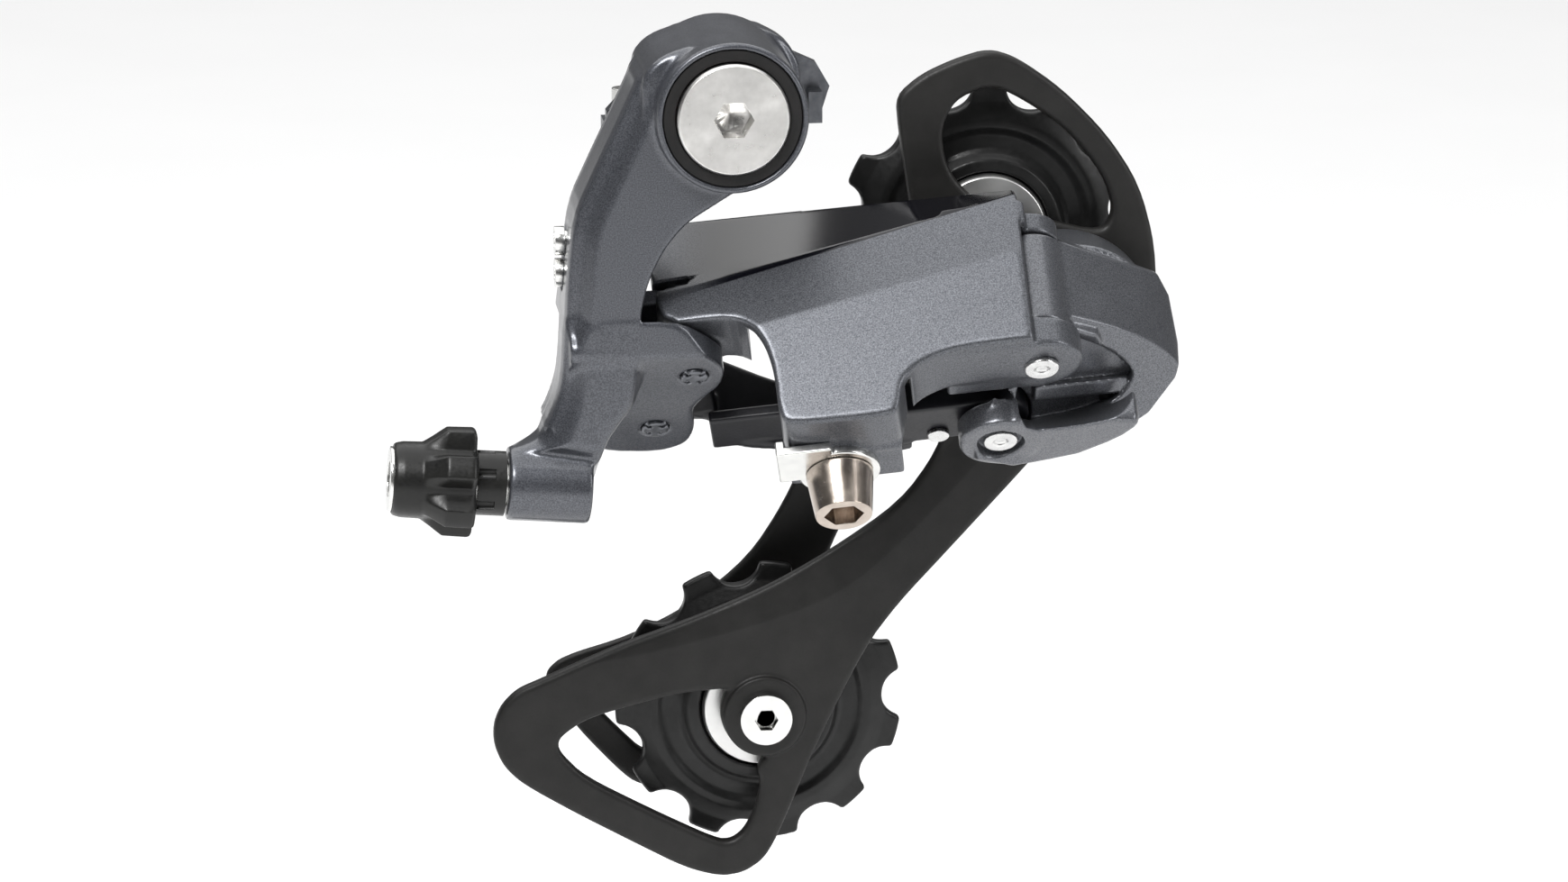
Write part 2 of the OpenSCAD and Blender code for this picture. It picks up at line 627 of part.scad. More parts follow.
module cage_stop_pin() color("silver") union() {
  bar_y(stop_pin[0], stop_pin[1], cage_y, cage_y + outer_t, 1.2);
  bar_y(stop_pin[0], stop_pin[1], -2.8, cage_y, 1.6);
}

module tooth_ring(phase) difference() {
  circle(r = root_r + 3.1);
  for (i = [0 : teeth - 1])
    rotate(phase + (i + 0.5) * 360 / teeth) translate([root_r + 3.9, 0]) circle(r = 3.9);
  // flanks of the gaps lean apart towards the tips
  for (i = [0 : teeth - 1])
    rotate(phase + (i + 0.5) * 360 / teeth)
      polygon([[root_r + 2.6, -3.6], [root_r + 2.6, 3.6], [root_r + 4.4, 4.6], [root_r + 4.4, -4.6]]);
}

module pulley(at, phase) difference() {
  union() {
    slab(pulley_y - 1.1, pulley_y + 1.1) translate(at) tooth_ring(phase);
    bar_y(at[0], at[1], pulley_y - 2.4, pulley_y + 2.4, root_r - 2.4);
    bar_y(at[0], at[1], pulley_y - 3.6, pulley_y + 3.6, 10.6);
  }
  bar_y(at[0], at[1], 0, 30, 4 + run);
  for (s = [-1, 1]) {
    // dished side, and the seat of the dust cap
    translate([at[0], pulley_y + s * 2.5, at[1]]) rotate([90, 0, 0]) difference() {
      cylinder(h = 2, r = root_r - 4.4, center = true);
      cylinder(h = 3, r = 11.4, center = true);
    }
    translate([at[0], pulley_y + s * 3.6, at[1]]) rotate([90, 0, 0]) cylinder(h = 2.4, r = 9.3, center = true);
  }
}

module guide_pulley() color("black") pulley(guide, 23);
module tension_pulley() color("black") pulley(tension, 17.6);

module bush(at) difference() {
  bar_y(at[0], at[1], cage_y + outer_t + 0.02, inner_y - 0.02, 4);
  bar_y(at[0], at[1], 0, 30, 2.55);
}
module guide_bush() color("goldenrod") bush(guide);
module tension_bush() color("goldenrod") bush(tension);

module dust_caps(at) for (s = [-1, 1])
  translate([at[0], pulley_y + s * 3.55, at[1]]) rotate([90 * s, 0, 0]) difference() {
    translate([0, 0, -0.9]) cylinder(h = 1.4, r1 = 8.6, r2 = 9);
    translate([0, 0, -3]) cylinder(h = 6, r = 4);
  }
module guide_dust_caps() color("gainsboro") dust_caps(guide);
module tension_dust_caps() color("gainsboro") dust_caps(tension);

module pulley_bolts() color("silver") {
  // tension pulley bolt, head outboard
  translate([tension[0], 0, tension[1]]) difference() {
    union() {
      bar_y(0, 0, cage_y - 0.7, inner_y + inner_t + 0.6, 2.5);
      bar_y(0, 0, cage_y - 2.3, cage_y - 0.7, 3.9);
    }
    translate([0, cage_y - 2.3, 0]) rotate([90, 0, 0]) hex_socket(3, 1.6);
  }
  // guide pulley bolt, head inboard
  translate([guide[0], 0, guide[1]]) difference() {
    union() {
      bar_y(0, 0, cage_y, inner_y + inner_t + 1, 2.5);
      bar_y(0, 0, inner_y + inner_t + 0.9, inner_y + inner_t + 2.6, 3.9);
    }
    translate([0, inner_y + inner_t + 2.6, 0]) rotate([-90, 0, 0]) hex_socket(3, 1.6);
  }
}

b_bolt();
stop_plate();
b_tension_screw();
b_retaining_ring();
bracket_body();
b_bush();
b_seal_ring();
b_spring();
limit_screw_high();
limit_screw_low();
adjuster_barrel();
adjuster_collar();
adjuster_knob();
adjuster_spring();
outer_link();
inner_link();
pins_a();
pin_b_outer();
pin_b_inner();
inner_link_rivet();
link_spring();
cable_clamp_plate();
cable_anchor_bolt();
p_body();
p_bush();
p_spring();
p_seal_ring();
p_axle();
p_retaining_screw();
outer_cage_plate();
inner_cage_plate();
cage_stop_pin();
guide_pulley();
guide_bush();
guide_dust_caps();
tension_pulley();
tension_bush();
tension_dust_caps();
pulley_bolts();
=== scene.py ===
"""Rear derailleur: castings, plates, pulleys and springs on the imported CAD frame, in a pale studio."""
import json
import math

import bmesh
import bpy
import numpy as np
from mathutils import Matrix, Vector

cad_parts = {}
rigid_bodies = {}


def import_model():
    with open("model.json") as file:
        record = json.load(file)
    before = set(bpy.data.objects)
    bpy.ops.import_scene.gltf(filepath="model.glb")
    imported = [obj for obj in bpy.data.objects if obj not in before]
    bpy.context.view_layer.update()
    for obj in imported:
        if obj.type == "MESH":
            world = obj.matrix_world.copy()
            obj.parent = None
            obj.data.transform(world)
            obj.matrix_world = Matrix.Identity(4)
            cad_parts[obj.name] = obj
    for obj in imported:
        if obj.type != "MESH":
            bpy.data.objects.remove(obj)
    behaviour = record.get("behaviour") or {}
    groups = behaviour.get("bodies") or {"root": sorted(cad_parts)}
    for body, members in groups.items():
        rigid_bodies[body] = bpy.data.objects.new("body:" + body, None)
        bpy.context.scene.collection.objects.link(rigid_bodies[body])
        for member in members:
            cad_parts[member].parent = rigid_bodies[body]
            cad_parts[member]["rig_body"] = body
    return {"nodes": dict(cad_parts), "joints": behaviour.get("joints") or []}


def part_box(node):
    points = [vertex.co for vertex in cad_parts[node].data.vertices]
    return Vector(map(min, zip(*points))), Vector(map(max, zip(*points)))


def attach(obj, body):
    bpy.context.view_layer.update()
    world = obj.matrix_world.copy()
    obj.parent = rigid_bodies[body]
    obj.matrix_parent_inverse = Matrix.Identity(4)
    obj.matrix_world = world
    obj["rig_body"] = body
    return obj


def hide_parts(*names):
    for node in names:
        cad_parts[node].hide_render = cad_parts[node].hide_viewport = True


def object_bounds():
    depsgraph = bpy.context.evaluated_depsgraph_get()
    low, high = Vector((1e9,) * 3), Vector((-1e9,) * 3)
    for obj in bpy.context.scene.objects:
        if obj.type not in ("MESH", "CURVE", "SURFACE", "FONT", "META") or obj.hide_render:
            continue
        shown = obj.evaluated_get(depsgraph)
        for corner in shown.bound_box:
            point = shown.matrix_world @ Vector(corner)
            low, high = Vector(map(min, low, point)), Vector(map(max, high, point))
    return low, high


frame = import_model()
CAD_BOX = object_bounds()
JOINTS = {joint["name"]: joint for joint in frame["joints"]}
MM = 0.001

# ---- camera ----

TARGET = Vector((6.9, -28.5, -46.7)) * MM
CAMERA_AZIMUTH = math.radians(-7)
CAMERA_ELEVATION = math.radians(15)
CAMERA_DISTANCE = 0.9
LENS = 144.3


def make_camera():
    """A long lens looking at the outboard side, at the photograph's angle."""
    camera = bpy.data.objects.new("camera", bpy.data.cameras.new("camera"))
    bpy.context.scene.collection.objects.link(camera)
    flat = math.cos(CAMERA_ELEVATION)
    away = Vector((
        math.sin(CAMERA_AZIMUTH) * flat,
        -math.cos(CAMERA_AZIMUTH) * flat,
        math.sin(CAMERA_ELEVATION),
    ))
    camera.location = TARGET + CAMERA_DISTANCE * away
    camera.rotation_euler = (-away).to_track_quat("-Z", "Y").to_euler()
    camera.data.lens = LENS
    camera.data.sensor_width = 36
    camera.data.clip_start = 0.01
    bpy.context.scene.camera = camera


make_camera()

# ---- places, in mm, from the frame ----


def box(node):
    """Lowest and highest corner of a CAD node, in mm."""
    low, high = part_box(node)
    return np.array(low) / MM, np.array(high) / MM


def middle(node):
    """Middle of a CAD node's box, in mm."""
    low, high = box(node)
    return (low + high) / 2


def placement(origin, along, up):
    """A frame with +X along and +Z up, as its origin and a matrix whose rows are its axes."""
    up = np.array(up, float) / np.linalg.norm(up)
    along = np.array(along, float) - up * np.dot(along, up)
    along /= np.linalg.norm(along)
    return np.array(origin, float), np.array([along, np.cross(up, along), up])


def inside(place, point):
    """A row-frame point in a placement's own coordinates."""
    return place[1] @ (np.array(point, float) - place[0])


def pin_place(name):
    """Where a joint's axis stands, in mm."""
    return np.array(JOINTS[name]["pos_m"]) / MM


ROW = placement((0, 0, 0), (1, 0, 0), (0, 0, 1))
LINKAGE = placement((0, 0, 0), (1, 0, 0), JOINTS["link_swing"]["axis"])
PIN_A1 = inside(LINKAGE, pin_place("link_swing"))[:2]
PIN_A2 = inside(LINKAGE, pin_place("inner_link_swing"))[:2]
PIN_B1 = inside(LINKAGE, pin_place("p_knuckle_swing"))[:2]
PIN_B2 = PIN_A2 + PIN_B1 - PIN_A1
LINK_LENGTH = float(np.linalg.norm(PIN_B1 - PIN_A1))


def link_place(pin):
    """The placement of a link: +X from its bracket pin to its far pin, +Z along the pin."""
    lean = np.append(PIN_B1 - PIN_A1, 0)
    return placement(LINKAGE[1].T @ np.append(pin, 0), LINKAGE[1].T @ lean, LINKAGE[1][2])


OUTER = link_place(PIN_A1)
INNER = link_place(PIN_A2)
KNOB_AXIS = np.array(JOINTS["adjuster_knob_turn"]["axis"])
KNOB_SEAT = 8
ADJUSTER = placement(pin_place("adjuster_knob_turn") - KNOB_SEAT * KNOB_AXIS, (0, 0, 1), KNOB_AXIS)
PIVOT = pin_place("cage_pivot")[[0, 2]]
GUIDE = pin_place("guide_pulley_spin")[[0, 2]]
TENSION = pin_place("tension_pulley_spin")[[0, 2]]
PULLEY_Y = pin_place("guide_pulley_spin")[1]
CAGE_FRONT = 1.6
OUTER_T = 2.5
INNER_T = 1.7
INNER_Y = PULLEY_Y + (PULLEY_Y - CAGE_FRONT - OUTER_T)

# ---- shapes: signed distances in mm, negative inside ----


def soft_max(a, b, k):
    """The greater of a and b, rounded over where they are within k of each other."""
    h = np.maximum(k - np.abs(a - b), 0) / k
    return np.maximum(a, b) + h * h * k / 4


def both(k, *parts):
    """What all the parts share, its edges rounded over about k."""
    whole = parts[0]
    for part in parts[1:]:
        whole = soft_max(whole, part, k)
    return whole


def either(k, *parts):
    """The parts joined, with fillets of about k."""
    return -both(k, *[-part for part in parts])


def cut(k, body, *tools):
    """The body less the tools."""
    return both(k, body, *[-tool for tool in tools])


def between(w, low, high):
    """A slab from low to high along w."""
    return np.maximum(low - w, w - high)


def rod(u, v, w, low, high, r, k=0.4):
    """A cylinder of radius r along w."""
    return both(k, np.hypot(u, v) - r, between(w, low, high))


def block(x, y, z, low, high, k=0.4):
    """A box from its lowest to its highest corner."""
    return both(k, between(x, low[0], high[0]), between(y, low[1], high[1]), between(z, low[2], high[2]))


def rounded(points, times=2):
    """A closed outline with its corners cut, again and again, into curves."""
    points = np.array(points, float)
    for _ in range(times):
        ahead = np.roll(points, -1, axis=0)
        points = np.stack([0.78 * points + 0.22 * ahead, 0.22 * points + 0.78 * ahead], 1).reshape(-1, 2)
    return points


def outline(u, v, points):
    """Signed distance to a closed outline."""
    points = np.array(points, np.float32)
    nearest = np.float32(1e9)
    odd = np.zeros(np.broadcast(u, v).shape, bool)
    for (ax, ay), (bx, by) in zip(points, np.roll(points, -1, axis=0)):
        ex, ey = bx - ax, by - ay
        t = np.clip(((u - ax) * ex + (v - ay) * ey) / (ex * ex + ey * ey), 0, 1)
        nearest = np.minimum(nearest, (u - ax - ex * t) ** 2 + (v - ay - ey * t) ** 2)
        if ay != by:
            odd ^= ((ay > v) != (by > v)) & (u < ax + ex * (v - ay) / ey)
    return np.sqrt(nearest) * np.where(odd, -1, 1)


def plate(u, v, w, points, low, high, k=0.5, times=2):
    """An outline in u and v, thick from low to high along w."""
    return both(k, outline(u, v, rounded(points, times)), between(w, low, high))


class Grid:
    """A box of sample points in one placement. x, y and z broadcast together."""

    def __init__(self, place, low, high, step=0.3):
        self.place = place
        self.low = np.array(low, float)
        self.step = step
        ticks = [np.arange(a, b + step, step, dtype=np.float32) for a, b in zip(low, high)]
        self.x, self.y, self.z = np.meshgrid(*ticks, indexing="ij", sparse=True)
        self.shape = tuple(len(t) for t in ticks)

    def seen_from(self, place):
        """The sample points in another placement's coordinates."""
        turn = place[1] @ self.place[1].T
        shift = place[1] @ (self.place[0] - place[0])
        here = (self.x, self.y, self.z)
        return [
            sum(np.float32(t) * w for t, w in zip(row, here) if abs(t) > 1e-6) + np.float32(s)
            for row, s in zip(turn, shift)
        ]


def sample(values, at):
    """Values of a grid array between its points, by trilinear weights."""
    base = np.clip(at.astype(int), 0, np.array(values.shape) - 2)
    part = at - base
    total = 0
    for corner in np.ndindex(2, 2, 2):
        weight = np.prod(np.where(corner, part, 1 - part), axis=1)
        total = total + weight * values[tuple((base + corner).T)]
    return total


def surface(field):
    """Points (in grid steps) and quads of the zero surface, by surface nets."""
    field = field.astype(np.float32)
    field[field == 0] = 1e-6
    solid = field < 0
    strides = np.array([field.shape[1] * field.shape[2], field.shape[2], 1])
    crossings, cells, quads = [], [], []
    for axis in range(3):
        near = [slice(None)] * 3
        far = [slice(None)] * 3
        near[axis] = slice(None, -1)
        far[axis] = slice(1, None)
        near, far = tuple(near), tuple(far)
        place = np.argwhere(solid[near] != solid[far])
        a = field[near][tuple(place.T)]
        b = field[far][tuple(place.T)]
        points = place.astype(float)
        points[:, axis] += a / (a - b)
        home = place @ strides
        s, t = strides[(axis + 1) % 3], strides[(axis + 2) % 3]
        ring = np.stack([home - s - t, home - t, home, home - s], 1)
        crossings.append(np.repeat(points, 4, axis=0))
        cells.append(ring.ravel())
        quads.append(np.where((a < 0)[:, None], ring, ring[:, ::-1]))
    crossings, cells, quads = map(np.concatenate, (crossings, cells, quads))
    names, index = np.unique(cells, return_inverse=True)
    count = np.bincount(index)
    points = np.stack([np.bincount(index, crossings[:, i]) / count for i in range(3)], 1)
    slopes = np.gradient(field)
    for _ in range(2):
        slope = np.stack([sample(s, points) for s in slopes], 1)
        steep = np.maximum((slope ** 2).sum(1), 0.02)
        move = (sample(field, points) / steep)[:, None] * slope
        points -= np.clip(move, -0.3, 0.3)
    return points, np.searchsorted(names, quads)


def new_object(name, mesh):
    """An object in the scene that shows the given data."""
    piece = bpy.data.objects.new(name, mesh)
    bpy.context.scene.collection.objects.link(piece)
    return piece


def finish_piece(piece, material, *nodes):
    """Gives a piece its material and body, and hides the CAD nodes it stands for."""
    cad = frame["nodes"][nodes[0]]
    piece.data.materials.clear()
    piece.data.materials.append(material)
    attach(piece, cad["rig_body"])
    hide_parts(*nodes)
    return piece


def skin(name, grid, field, material, *nodes):
    """The surface of a field as a smooth-shaded piece that stands for CAD nodes."""
    points, quads = surface(np.broadcast_to(field, grid.shape).copy())
    local = grid.low + points * grid.step
    placed = (local @ grid.place[1] + grid.place[0]) * MM
    mesh = bpy.data.meshes.new(name)
    mesh.from_pydata(placed.tolist(), [], quads.tolist())
    mesh.polygons.foreach_set("use_smooth", np.ones(len(quads), bool))
    mesh.update()
    return finish_piece(new_object(name, mesh), material, *nodes)


# ---- materials ----


def new_material(name, base, metallic=0.0, roughness=0.5, coat=0.0, coat_roughness=0.1):
    """A material with these constant values on its shader."""
    material = bpy.data.materials.new(name)
    material.use_nodes = True
    shader = material.node_tree.nodes["Principled BSDF"]
    shader.inputs["Base Color"].default_value = (*base, 1)
    shader.inputs["Metallic"].default_value = metallic
    shader.inputs["Roughness"].default_value = roughness
    shader.inputs["Coat Weight"].default_value = coat
    shader.inputs["Coat Roughness"].default_value = coat_roughness
    return material


def add_node(material, kind, **values):
    """A new shader node with these input values."""
    node = material.node_tree.nodes.new(kind)
    for name, value in values.items():
        node.inputs[name].default_value = value
    return node


def link(material, source, target):
    """Joins an output socket to an input socket."""
    material.node_tree.links.new(source, target)


def shader_of(material):
    """The material's surface shader."""
    return material.node_tree.nodes["Principled BSDF"]


def noise(material, scale, detail=2.0):
    """Noise in the piece's own coordinates, scale in features per metre."""
    place = add_node(material, "ShaderNodeTexCoord")
    texture = add_node(material, "ShaderNodeTexNoise", Scale=scale, Detail=detail)
    link(material, place.outputs["Object"], texture.inputs["Vector"])
    return texture.outputs["Fac"]


def ramp(material, source, low, high):
    """A number from low to high as the source goes over the middle of its range."""
    node = add_node(material, "ShaderNodeMapRange",
                    **{"From Min": 0.3, "From Max": 0.7, "To Min": low, "To Max": high})
    link(material, source, node.inputs["Value"])
    return node.outputs["Result"]


def colour_mix(material, factor):
    """A colour mix driven by factor, as its two colour inputs and its colour output."""
    mix = add_node(material, "ShaderNodeMix")
    mix.data_type = "RGBA"
    link(material, factor, mix.inputs["Factor"])
    first, second = [s for s in mix.inputs if s.type == "RGBA"]
    return first, second, [s for s in mix.outputs if s.type == "RGBA"][0]


def mottle(material, source, dark, light):
    """Base colour between two shades."""
    first, second, out = colour_mix(material, ramp(material, source, 0, 1))
    first.default_value = (*dark, 1)
    second.default_value = (*light, 1)
    link(material, out, shader_of(material).inputs["Base Color"])


def grain(material, source, strength, depth):
    """Fine surface relief, depth in metres."""
    bump = add_node(material, "ShaderNodeBump", Strength=strength, Distance=depth)
    link(material, source, bump.inputs["Height"])
    link(material, bump.outputs["Normal"], shader_of(material).inputs["Normal"])


def paint(name, dark, light, roughness=0.36, coat=0.5, coat_roughness=0.14):
    """Metallic paint: fine bright flake, a slightly uneven gloss and a clear coat."""
    material = new_material(name, dark, 0.6, roughness, coat, coat_roughness)
    flake = noise(material, 5200, 1)
    mottle(material, flake, dark, light)
    link(material, ramp(material, noise(material, 160, 3), roughness - 0.04, roughness + 0.05),
         shader_of(material).inputs["Roughness"])
    grain(material, flake, 0.12, 0.00003)
    return material


def plastic(name, dark, light, roughness, scale, relief):
    """Moulded or coated black with a fine matt grain."""
    material = new_material(name, dark, roughness=roughness)
    shader_of(material).inputs["Specular IOR Level"].default_value = 0.32
    fine = noise(material, scale, 3)
    mottle(material, noise(material, 240, 3), dark, light)
    link(material, ramp(material, fine, roughness - 0.06, roughness + 0.08),
         shader_of(material).inputs["Roughness"])
    grain(material, fine, 0.25, relief)
    return material


def metal(name, dark, light, roughness, scale=700):
    """Bare metal with faint uneven polish."""
    material = new_material(name, light, metallic=1.0, roughness=roughness)
    cloud = noise(material, scale, 3)
    mottle(material, cloud, dark, light)
    link(material, ramp(material, cloud, roughness - 0.03, roughness + 0.04),
         shader_of(material).inputs["Roughness"])
    return material


def turned(name, dark, light, roughness):
    """Bare metal brushed in circles round the row frame's Y axis, with fine turning rings."""
    material = metal(name, dark, light, roughness)
    shader_of(material).inputs["Anisotropic"].default_value = 0.75
    around = add_node(material, "ShaderNodeTangent")
    around.direction_type = "RADIAL"
    around.axis = "Y"
    link(material, around.outputs["Tangent"], shader_of(material).inputs["Tangent"])
    place = add_node(material, "ShaderNodeTexCoord")
    rings = add_node(material, "ShaderNodeTexWave", Scale=900.0, Distortion=0.3)
    rings.wave_type = "RINGS"
    rings.rings_direction = "Y"
    link(material, place.outputs["Object"], rings.inputs["Vector"])
    grain(material, rings.outputs["Fac"], 0.05, 0.00001)
    return material


def plane_step(material, normal, start, stop):
    """0 to 1 as the place along a normal goes from start to stop, in mm."""
    place = add_node(material, "ShaderNodeTexCoord")
    dot = add_node(material, "ShaderNodeVectorMath")
    dot.operation = "DOT_PRODUCT"
    dot.inputs[1].default_value = tuple(normal)
    link(material, place.outputs["Object"], dot.inputs[0])
    step = add_node(material, "ShaderNodeMapRange", **{"From Min": start * MM, "From Max": stop * MM})
    step.interpolation_type = "SMOOTHSTEP"
    link(material, dot.outputs["Value"], step.inputs["Value"])
    return step.outputs["Result"]


def roof_mask(material):
    """1 over the link's roof, 0 below its upper crease, fading out towards the nose."""
    first = OUTER[0] + np.array([10, -8.55, -30.1]) @ OUTER[1]
    second = OUTER[0] + np.array([49, -8.5, -21.5]) @ OUTER[1]
    back = OUTER[0] + np.array([30, 3, -8.5]) @ OUTER[1]
    across = np.cross(second - first, (-60, -900, 240))
    across /= np.linalg.norm(across) * np.sign(np.dot(across, back - first))
    edge = float(np.dot(across, first))
    nose = float(np.dot(OUTER[1][0], OUTER[0]))
    both_steps = add_node(material, "ShaderNodeMath")
    both_steps.operation = "MULTIPLY"
    link(material, plane_step(material, across, edge - 0.1, edge + 0.1), both_steps.inputs[0])
    link(material, plane_step(material, OUTER[1][0], nose - 4, nose + 7), both_steps.inputs[1])
    return both_steps.outputs["Value"]


def two_tone_paint(name, dark, light, black):
    """Metallic paint that turns gloss black over the link's roof."""
    roughness = 0.36
    material = paint(name, dark, light, roughness, 0.12, 0.1)
    shader = shader_of(material)
    shader.inputs["Specular IOR Level"].default_value = 0.3
    grey = shader.inputs["Base Color"].links[0].from_socket
    mask = roof_mask(material)
    first, second, out = colour_mix(material, mask)
    link(material, grey, first)
    second.default_value = (*black, 1)
    link(material, out, shader.inputs["Base Color"])
    for socket, grey_value, black_value in (("Metallic", 0.6, 0.0), ("Roughness", roughness, 0.12)):
        blend = add_node(material, "ShaderNodeMapRange", **{"To Min": grey_value, "To Max": black_value})
        link(material, mask, blend.inputs["Value"])
        link(material, blend.outputs["Result"], shader.inputs[socket])
    return material


CASTING = paint("grey_casting_paint", (0.044, 0.047, 0.056), (0.108, 0.113, 0.128))
KNUCKLE = paint("grey_knuckle_paint", (0.066, 0.069, 0.078), (0.155, 0.16, 0.175), 0.33, 0.3, 0.18)
LINK_PAINT = two_tone_paint(
    "grey_link_paint", (0.056, 0.059, 0.067), (0.138, 0.143, 0.157), (0.003, 0.003, 0.005),
)
BLACK_LINK = plastic("black_link_paint", (0.006, 0.006, 0.008), (0.012, 0.012, 0.015), 0.35, 2600, 0.00002)
CAGE_BLACK = plastic(
    "black_cage_coating", (0.0075, 0.0072, 0.0068), (0.0125, 0.012, 0.0114), 0.47, 3200, 0.00003,
)
RESIN = plastic("black_pulley_resin", (0.006, 0.006, 0.006), (0.012, 0.012, 0.012), 0.34, 1500, 0.00006)
KNOB_BLACK = plastic("black_knob_plastic", (0.006, 0.006, 0.006), (0.011, 0.011, 0.01), 0.34, 2400, 0.00003)
RUBBER = plastic("black_seal_rubber", (0.006, 0.006, 0.006), (0.011, 0.01, 0.01), 0.6, 2800, 0.00003)
BRIGHT = turned("turned_nickel", (0.66, 0.65, 0.63), (0.76, 0.75, 0.73), 0.3)
RIVET = metal("rivet_steel", (0.56, 0.56, 0.56), (0.7, 0.7, 0.69), 0.27, 500)
ZINC = metal("zinc_plated_steel", (0.64, 0.64, 0.63), (0.74, 0.74, 0.72), 0.22, 500)
WARM = metal("warm_anchor_steel", (0.44, 0.38, 0.33), (0.56, 0.49, 0.43), 0.24, 500)
SPRING = metal("spring_wire", (0.3, 0.3, 0.31), (0.5, 0.5, 0.5), 0.3)
DARK_PLATE = metal("dark_plated_steel", (0.1, 0.105, 0.115), (0.17, 0.175, 0.19), 0.36)
BLACK_STEEL = metal("black_oxide_steel", (0.02, 0.02, 0.02), (0.05, 0.05, 0.05), 0.4)
BRONZE = metal("bronze_bush", (0.45, 0.3, 0.12), (0.62, 0.44, 0.2), 0.35)
CAP_SILVER = metal("dust_cap_silver", (0.66, 0.66, 0.65), (0.78, 0.78, 0.77), 0.36, 300)

# ---- bracket ----

HOUSING_R = 10.9
HOUSING_FRONT = -26
HOUSING_BACK = -2.6
NECK_FRONT = -22.5
BEVEL_WIDTH = 3.4
PIN_R = 2
LUG_FLOOR = -41
FORK_FLOOR = -36.9
UPPER_LUG = (-31.2, -28.3)
TOP_LUG = (-24.7, -21.5)
SCREWS = ("limit_screw_high", "limit_screw_low")
NECK_LEFT = [
    (-10.2, 3.8), (-12.6, 5.4), (-13.8, 2.4), (-19.1, -8.8), (-22.2, -15.5), (-23.2, -25), (-23.6, -36),
    (-24.2, -41.5), (-26.6, -47.3), (-31.4, -50.4),
]
NECK = NECK_LEFT + [
    (-31.6, -54), (-19.2, -56), (-18.6, -50), (-17, -46), (-13.1, -42), (-13.1, -29.6), (-12, -24.6),
    (-9.6, -19.6), (-6.4, -15.8), (-2.2, -13.2), (2, -10.6), (0, 0),
]
LUG_PLAN = [
    (-23, 5), (-7.9, 5), (-2.6, 10), (-0.5, 13.2), (-0.8, 17.4), (-2.6, 20.3), (-4.6, 24.1), (-3.6, 29.5),
    (-4.6, 34.2), (-8.8, 36.4), (-17.3, 35.6), (-21, 31), (-23, 24),
]
ARM = [
    (-23.4, -30), (-23.6, -37), (-24.4, -41.6), (-26.8, -47.4), (-31.6, -50.4), (-32.1, -51.4),
    (-31.8, -55), (-19.4, -56.4), (-19, -51), (-17, -46.4), (-13.6, -42), (-13, -32),
]


def bracket_solid(grid):
    """Housing with its ribs, bevelled neck, forked lugs, and the arm to the cable adjuster's boss."""
    x, y, z = grid.x, grid.y, grid.z
    lx, ly, lz = grid.seen_from(LINKAGE)
    ax, ay, az = grid.seen_from(ADJUSTER)
    neck_side = outline(x, z, rounded(NECK))
    housing = rod(x, z, y, HOUSING_FRONT, HOUSING_BACK, HOUSING_R, 0.7)
    rim = rod(x, z, y, HOUSING_FRONT, HOUSING_FRONT + 1.4, HOUSING_R - 0.1, 0.5)
    top_rib = plate(x, z, y, [(-12.8, 5.2), (-10, 8.4), (-4, 10.2), (0, 0), (-12, -3)], -22, -3.5, 1.2)
    front_rib = plate(x, z, y, [(4, 9.9), (9.6, 7.8), (12.4, 3.2), (11.4, -3.4), (4, -9)], -6.5, -2.6, 0.8)
    bevel_line = outline(x, z, rounded(NECK_LEFT + [(30, -60), (30, 10)]))
    bevel = (NECK_FRONT + 1.25 * (BEVEL_WIDTH + bevel_line) - y) * 0.62
    neck = both(0.3, neck_side, NECK_FRONT - y, y + 7, bevel, LUG_FLOOR - lz, -46.5 - z)
    back_taper = -23.4 - x + 0.16 * (y - NECK_FRONT) * np.clip((-33 - z) / 5, 0, 1)
    spine = both(0.8, block(lx, ly, lz, (-23.4, 8, LUG_FLOOR), (-15.5, 34, -21)), back_taper,
                 neck_side, between(y, NECK_FRONT, 12))
    lug = both(0.4, plate(lx, ly, lz, LUG_PLAN, LUG_FLOOR, -37, 0.5), NECK_FRONT - y)
    upper_plan = [(-18, 11), (-5, 10.6), (-5, 18.8), (-18, 20)]
    upper_lug = either(0.4, plate(lx, ly, lz, upper_plan, *UPPER_LUG, 0.5, 1),
                       rod(lx - PIN_A1[0], ly - PIN_A1[1], lz, *UPPER_LUG, 4.1))
    top_lug = either(0.4, block(lx, ly, lz, (-22, 24.4, TOP_LUG[0]), (-9, 33.6, TOP_LUG[1])),
                     rod(lx - PIN_A2[0], ly - PIN_A2[1], lz, *TOP_LUG, 4.6))
    arm = both(0.9, plate(x, z, y, ARM, -22, -13, 1.4), bevel - 0.3)
    boss = rod(ax, ay, az, -12.2, 0, 5.25, 0.8)
    web = both(1.0, neck_side, between(y, -20, -9), -46 - z)
    body = either(0.25, neck, lug, spine)
    body = either(1.0, body, housing, top_rib, front_rib)
    body = either(0.8, np.minimum(body, rim), either(1.8, arm, boss, web))
    return either(0.3, body, upper_lug, top_lug)


